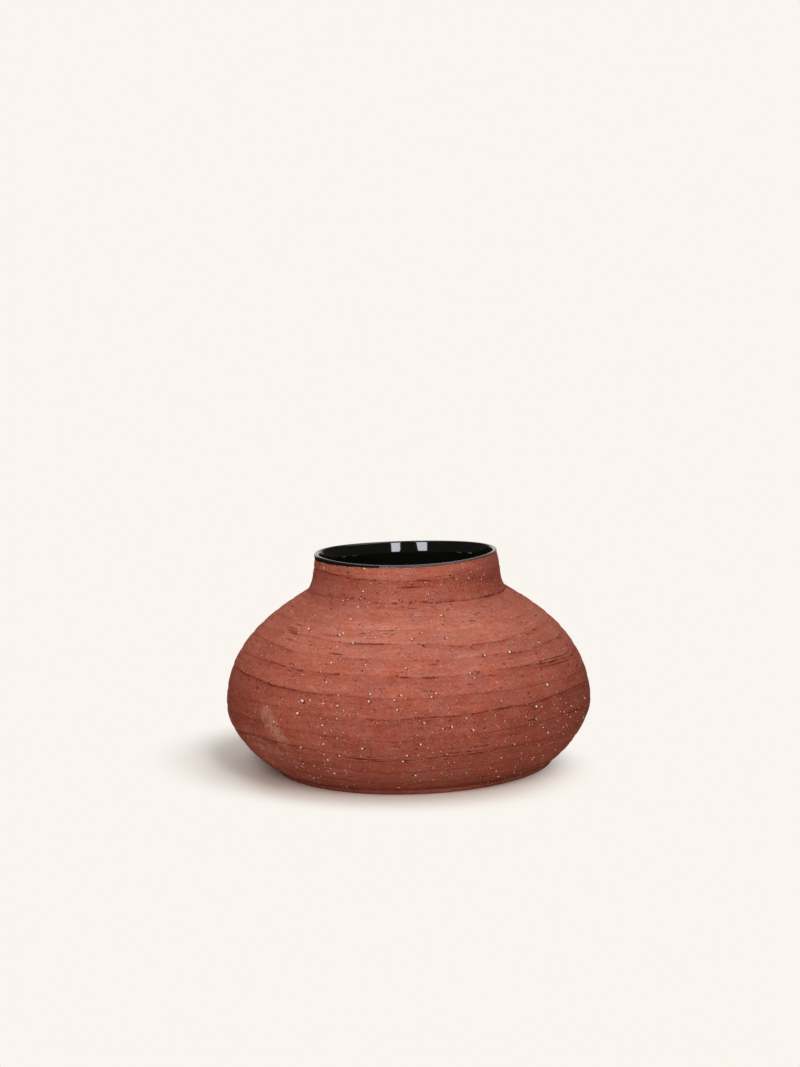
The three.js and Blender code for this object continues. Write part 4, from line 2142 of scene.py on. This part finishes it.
@dataclass
class GlazeLining:
    """The black glaze: inside, over the lip, and run down a little outside at the front left."""

    outline: Outline
    lean: Lean
    finish: bpy.types.Material
    columns: int = 540
    run_start: float = -100.0
    run_end: float = -17.0
    run_depths: Range = (3.1, 1.7)
    run_swell: float = 0.25
    run_fade: Range = (0.35, 0.65)
    run_ragged: Ripple = Ripple(0.22, range(12, 50), 91)
    edge_depths: Range = (1.5, 0.8)
    edge_thinning: float = 70.0
    edge_ragged: Ripple = Ripple(0.12, range(6, 60), 92)
    thin_past_end: float = 0.8
    thin_past_start: float = 8.0
    lip_steps: int = 20
    drop_steps: Triple = (0.35, 0.7, 1.0)
    tuck: float = 0.35

    def build(self) -> None:
        """Makes the lining."""
        outline = self.outline
        ring = RingMesh(self.columns)
        fit, skin = outline.glaze_fit, outline.glaze_fit + outline.glaze
        on_clay = self.up_inside(fit) + self.over_lip(ring, fit)
        open_side = self.up_inside(skin)[:-1] + self.over_lip(ring, skin)
        for radii, heights in on_clay + open_side[::-1]:
            self.add(ring, radii, heights)
        poles = outline.floor_thickness + fit, outline.floor_thickness + skin
        mesh = ring.finish("glaze_lining", poles, self.lean)
        mesh.materials.append(self.finish)
        piece = add_object("black_glaze", mesh)
        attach(piece, "root")
        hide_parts("glaze_lining")
        log.info("%s: %d faces", piece.name, len(mesh.polygons))

    def edge_levels(self, azimuths: np.ndarray) -> np.ndarray:
        """How far the glaze's edge outside lies below the top, at each azimuth.

        Args:
            azimuths: Where the edge is wanted.

        Returns:
            The depths below the top.
        """
        share = (azimuths - self.run_start) / (self.run_end - self.run_start)
        start, end = self.run_depths
        run = start + (end - start) * smooth((share - self.run_fade[0]) / self.run_fade[1])
        run = run * smooth(share / self.run_swell) + self.run_ragged.line(azimuths)
        near, far = self.edge_depths
        edge = near + (far - near) * smooth((azimuths - self.run_end) / self.edge_thinning)
        edge = edge + self.edge_ragged.line(azimuths)
        is_run = (azimuths > self.run_start) & (azimuths < self.run_end)
        return np.where(is_run, np.maximum(run, edge), edge)

    def up_inside(self, offset: float) -> list[Spot]:
        """The inside from near the axis to the spring of the lip, level by level as the clay.

        Args:
            offset: How far the points lie off the clay.

        Returns:
            The radius and the height of each level.
        """
        points = self.outline.floor_inside(offset)
        for node in CLAY_NODES[1:]:
            points += self.outline.coil_inside(node, offset)[1:]
        return points

    def over_lip(self, ring: RingMesh, offset: float) -> list[tuple[np.ndarray, np.ndarray]]:
        """Rows from the inside of the lip over its top and down to the edge outside.

        Args:
            ring: The mesh, for its azimuths.
            offset: How far the rows lie off the clay.

        Returns:
            The radii and the heights of each row.
        """
        outline = self.outline
        radius = outline.lip_round + offset
        neck_top = outline.neck_foot_height + outline.neck_waist
        flare = (outline.neck_radius - outline.mouth_radius) / (outline.lip_spring - neck_top)
        edge = outline.height - self.edge_levels(ring.azimuths)
        below = np.maximum(outline.lip_spring - edge, 0.0)
        end_angle = np.arcsin(np.clip((edge - outline.lip_spring) / radius, 0.0, 1.0))
        rows = []
        for share in np.linspace(0.0, 1.0, self.lip_steps + 1)[1:]:
            angle = math.pi + (end_angle - math.pi) * share
            radii, heights = radius * np.cos(angle), radius * np.sin(angle)
            rows.append((outline.lip_middle + radii, outline.lip_spring + heights))
        last_radii, last_heights = rows[-1]
        for share in self.drop_steps:
            drop = below * share
            radii = outline.mouth_radius + drop * flare + offset * (1.0 - self.tuck * share**3)
            heights = np.where(below > 0.0, outline.lip_spring - drop, last_heights)
            rows.append((np.where(below > 0.0, radii, last_radii), heights))
        return rows

    def add(self, ring: RingMesh, radii: Level, heights: Level) -> None:
        """Adds one row with how thin the glaze is there.

        Args:
            ring: The mesh.
            radii: The row's radii.
            heights: Its heights.
        """
        outline = self.outline
        outside = smooth((radii - outline.lip_middle) / outline.lip_round)
        is_high = np.asarray(heights) > outline.lip_ring_base
        beyond_run = smooth((ring.azimuths - self.run_end) / self.thin_past_end)
        beyond_run += smooth((self.run_start - ring.azimuths) / self.thin_past_start)
        thin = np.clip(outside * is_high * beyond_run, 0.0, 1.0)
        ring.add(ring.turned(radii, heights), {"thin": thin})


@dataclass(frozen=True)
class SoftBox:
    """A soft lamp that looks at the middle of the pot, with its sizes in metres."""

    name: str
    azimuth: float
    elevation: float
    distance: float
    width: float
    height: float
    radiance: float
    aim: Triple = (0.0, 0.0, 0.08)

    def place(self) -> None:
        """Puts the lamp into the scene."""
        azimuth, elevation = math.radians(self.azimuth), math.radians(self.elevation)
        level = math.cos(elevation)
        away = Vector(
            (math.sin(azimuth) * level, -math.cos(azimuth) * level, math.sin(elevation))
        )
        data = bpy.data.lights.new(self.name, "AREA")
        data.shape = "RECTANGLE"
        data.size, data.size_y = self.width, self.height
        data.energy = self.radiance * math.pi * self.width * self.height
        lamp = add_object(self.name, data)
        lamp.location = Vector(self.aim) + away * self.distance
        lamp.rotation_euler = away.to_track_quat("Z", "Y").to_euler()
        log.info("lamp %s", self.name)


@dataclass(frozen=True)
class Studio:
    """The pale floor, the backdrop and the lamps, with sizes in metres."""

    background: Colour = linear(250, 245, 239)
    floor_level: float = 1.1
    floor_half: float = 12.0
    bounce: Colour = (0.46, 0.33, 0.26, 1.0)
    unlit: Colour = (0.02, 0.02, 0.02, 1.0)
    fill: Colour = (1.0, 0.77, 0.66, 1.0)
    fill_strength: float = 0.08
    backdrop_edge: Range = (0.8, 0.95)
    floor_edge: Range = (0.34, 0.5)
    shadow_middle: Triple = (-0.0356, 0.0, 0.0)
    shadow_turn: float = 0.627
    shadow_shape: Triple = (0.953, 1.307, 1.0)
    shadow_reach: Range = (0.114, 0.19)
    # A painted shadow round the foot: its middle, its reach and how dark it is
    contact_middle: Triple = (-0.0018, -0.042, 0.0)
    contact_reach: Range = (0.1024, 0.133)
    painted_foot_shadow: Triple = (0.751, 0.67, 0.6225)
    lamps: tuple[SoftBox, ...] = (
        SoftBox("window_right", 15.0, 30.0, 1.9, 0.37, 1.3, 10.2),
        SoftBox("window_left", -24.0, 30.0, 1.9, 0.43, 1.18, 10.0),
        SoftBox("side", 90.0, 60.0, 1.7, 1.2, 1.2, 1.2),
        SoftBox("back", 180.0, 60.0, 1.7, 1.2, 1.2, 1.3),
    )

    def build(self) -> None:
        """Makes the floor, the backdrop and the lamps."""
        self.make_floor()
        self.make_backdrop()
        for lamp in self.lamps:
            lamp.place()

    @staticmethod
    def seen(tree: NodeTree, in_gloss: NodeValue) -> NodeValue:
        """1 for what the eye sees itself or through glass, and a share of it for a gloss.

        Args:
            tree: The nodes of the floor or of the world.
            in_gloss: How much of it a gloss sees.

        Returns:
            The share, from 0 to 1.
        """
        path = tree.node("ShaderNodeLightPath")
        rays = [tree.value(path, f"Is {kind} Ray") for kind in ("Camera", "Transmission", "Glossy")]
        return rays[0] + rays[1] + rays[2] * in_gloss

    def make_floor(self) -> None:
        """A large plain floor that takes the pot's shadow and fades into the background.

        The shadow's patch is a turned ellipse, and a painted shadow makes the floor a little darker
        and warmer where it touches the foot. Rays that light the pot see a darker, warm floor, and
        a gloss an unlit one.
        """
        half = self.floor_half
        mesh = bpy.data.meshes.new("floor")
        corners = [(-half, -half, 0.0), (half, -half, 0.0), (half, half, 0.0), (-half, half, 0.0)]
        mesh.from_pydata(corners, [], [(0, 1, 2, 3)])
        tree = FinishTree("pale_floor")
        place = tree.place()
        settings = {"rotation_type": "Z_AXIS"}
        sockets = {"Vector": place - self.shadow_middle, "Angle": self.shadow_turn}
        turned = tree.take("ShaderNodeVectorRotate", "Vector", settings, sockets)
        to_far = (turned * self.shadow_shape).length().between(*self.shadow_reach)
        seen = self.seen(tree, 1.0 - place.length().between(*self.floor_edge))
        is_gloss = tree.take("ShaderNodeLightPath", "Is Glossy Ray")
        other = tree.mix(is_gloss, self.bounce, self.unlit)
        shown = [part * self.floor_level for part in self.background[:3]]
        # Painted shadow round the foot
        touch = 1.0 - (place - self.contact_middle).length().between(*self.contact_reach)
        shaded = [part * share for part, share in zip(shown, self.painted_foot_shadow)]
        pale = tree.mix(touch, (*shown, 1.0), (*shaded, 1.0))
        matte = tree.take("ShaderNodeBsdfDiffuse", 0, None, {"Color": tree.mix(seen, other, pale)})
        glow = tree.take("ShaderNodeEmission", 0, None, {"Color": self.background, "Strength": 1.0})
        mesh.materials.append(tree.surface(tree.mixed_shader(to_far * seen, matte, glow)))
        add_object("floor", mesh)

    def make_backdrop(self) -> None:
        """The world: the background's colour where it is seen, and a low warm fill on the pot.

        A gloss sees the pale backdrop behind the pot, and the unlit room in front of it.
        """
        world = bpy.data.worlds.new("backdrop")
        world.use_nodes = True
        world.node_tree.nodes.clear()
        tree = NodeTree(world.node_tree)
        behind = tree.take("ShaderNodeTexCoord", "Object").part("Y").between(*self.backdrop_edge)
        lights = ((self.fill, self.fill_strength), (self.background, 1.0))
        fill, back = (
            tree.take("ShaderNodeBackground", 0, None, {"Color": colour, "Strength": strength})
            for colour, strength in lights
        )
        both = tree.mixed_shader(self.seen(tree, behind), fill, back)
        tree.node("ShaderNodeOutputWorld", None, {"Surface": both})
        bpy.context.scene.world = world


def main() -> None:
    """Builds the scene."""
    logging.basicConfig(level=logging.INFO, format="%(name)s: %(message)s")
    bpy.context.scene.view_settings.view_transform = "Standard"
    outline, lean = Outline(), Lean()
    camera = PhotoCamera(outline, lean)
    camera.place()
    skin = ClaySkin(SeamLines(camera), ClayMarks(camera), SeenGrains(camera))
    clay, grog = ClayFinish().build("red_clay", camera), GrogFinish().build("grog")
    ClayWork(outline, lean, skin, clay, grog).build()
    GlazeLining(outline, lean, GlazeFinish().build("black_glaze")).build()
    Studio().build()


if __name__ == "__main__":
    main()
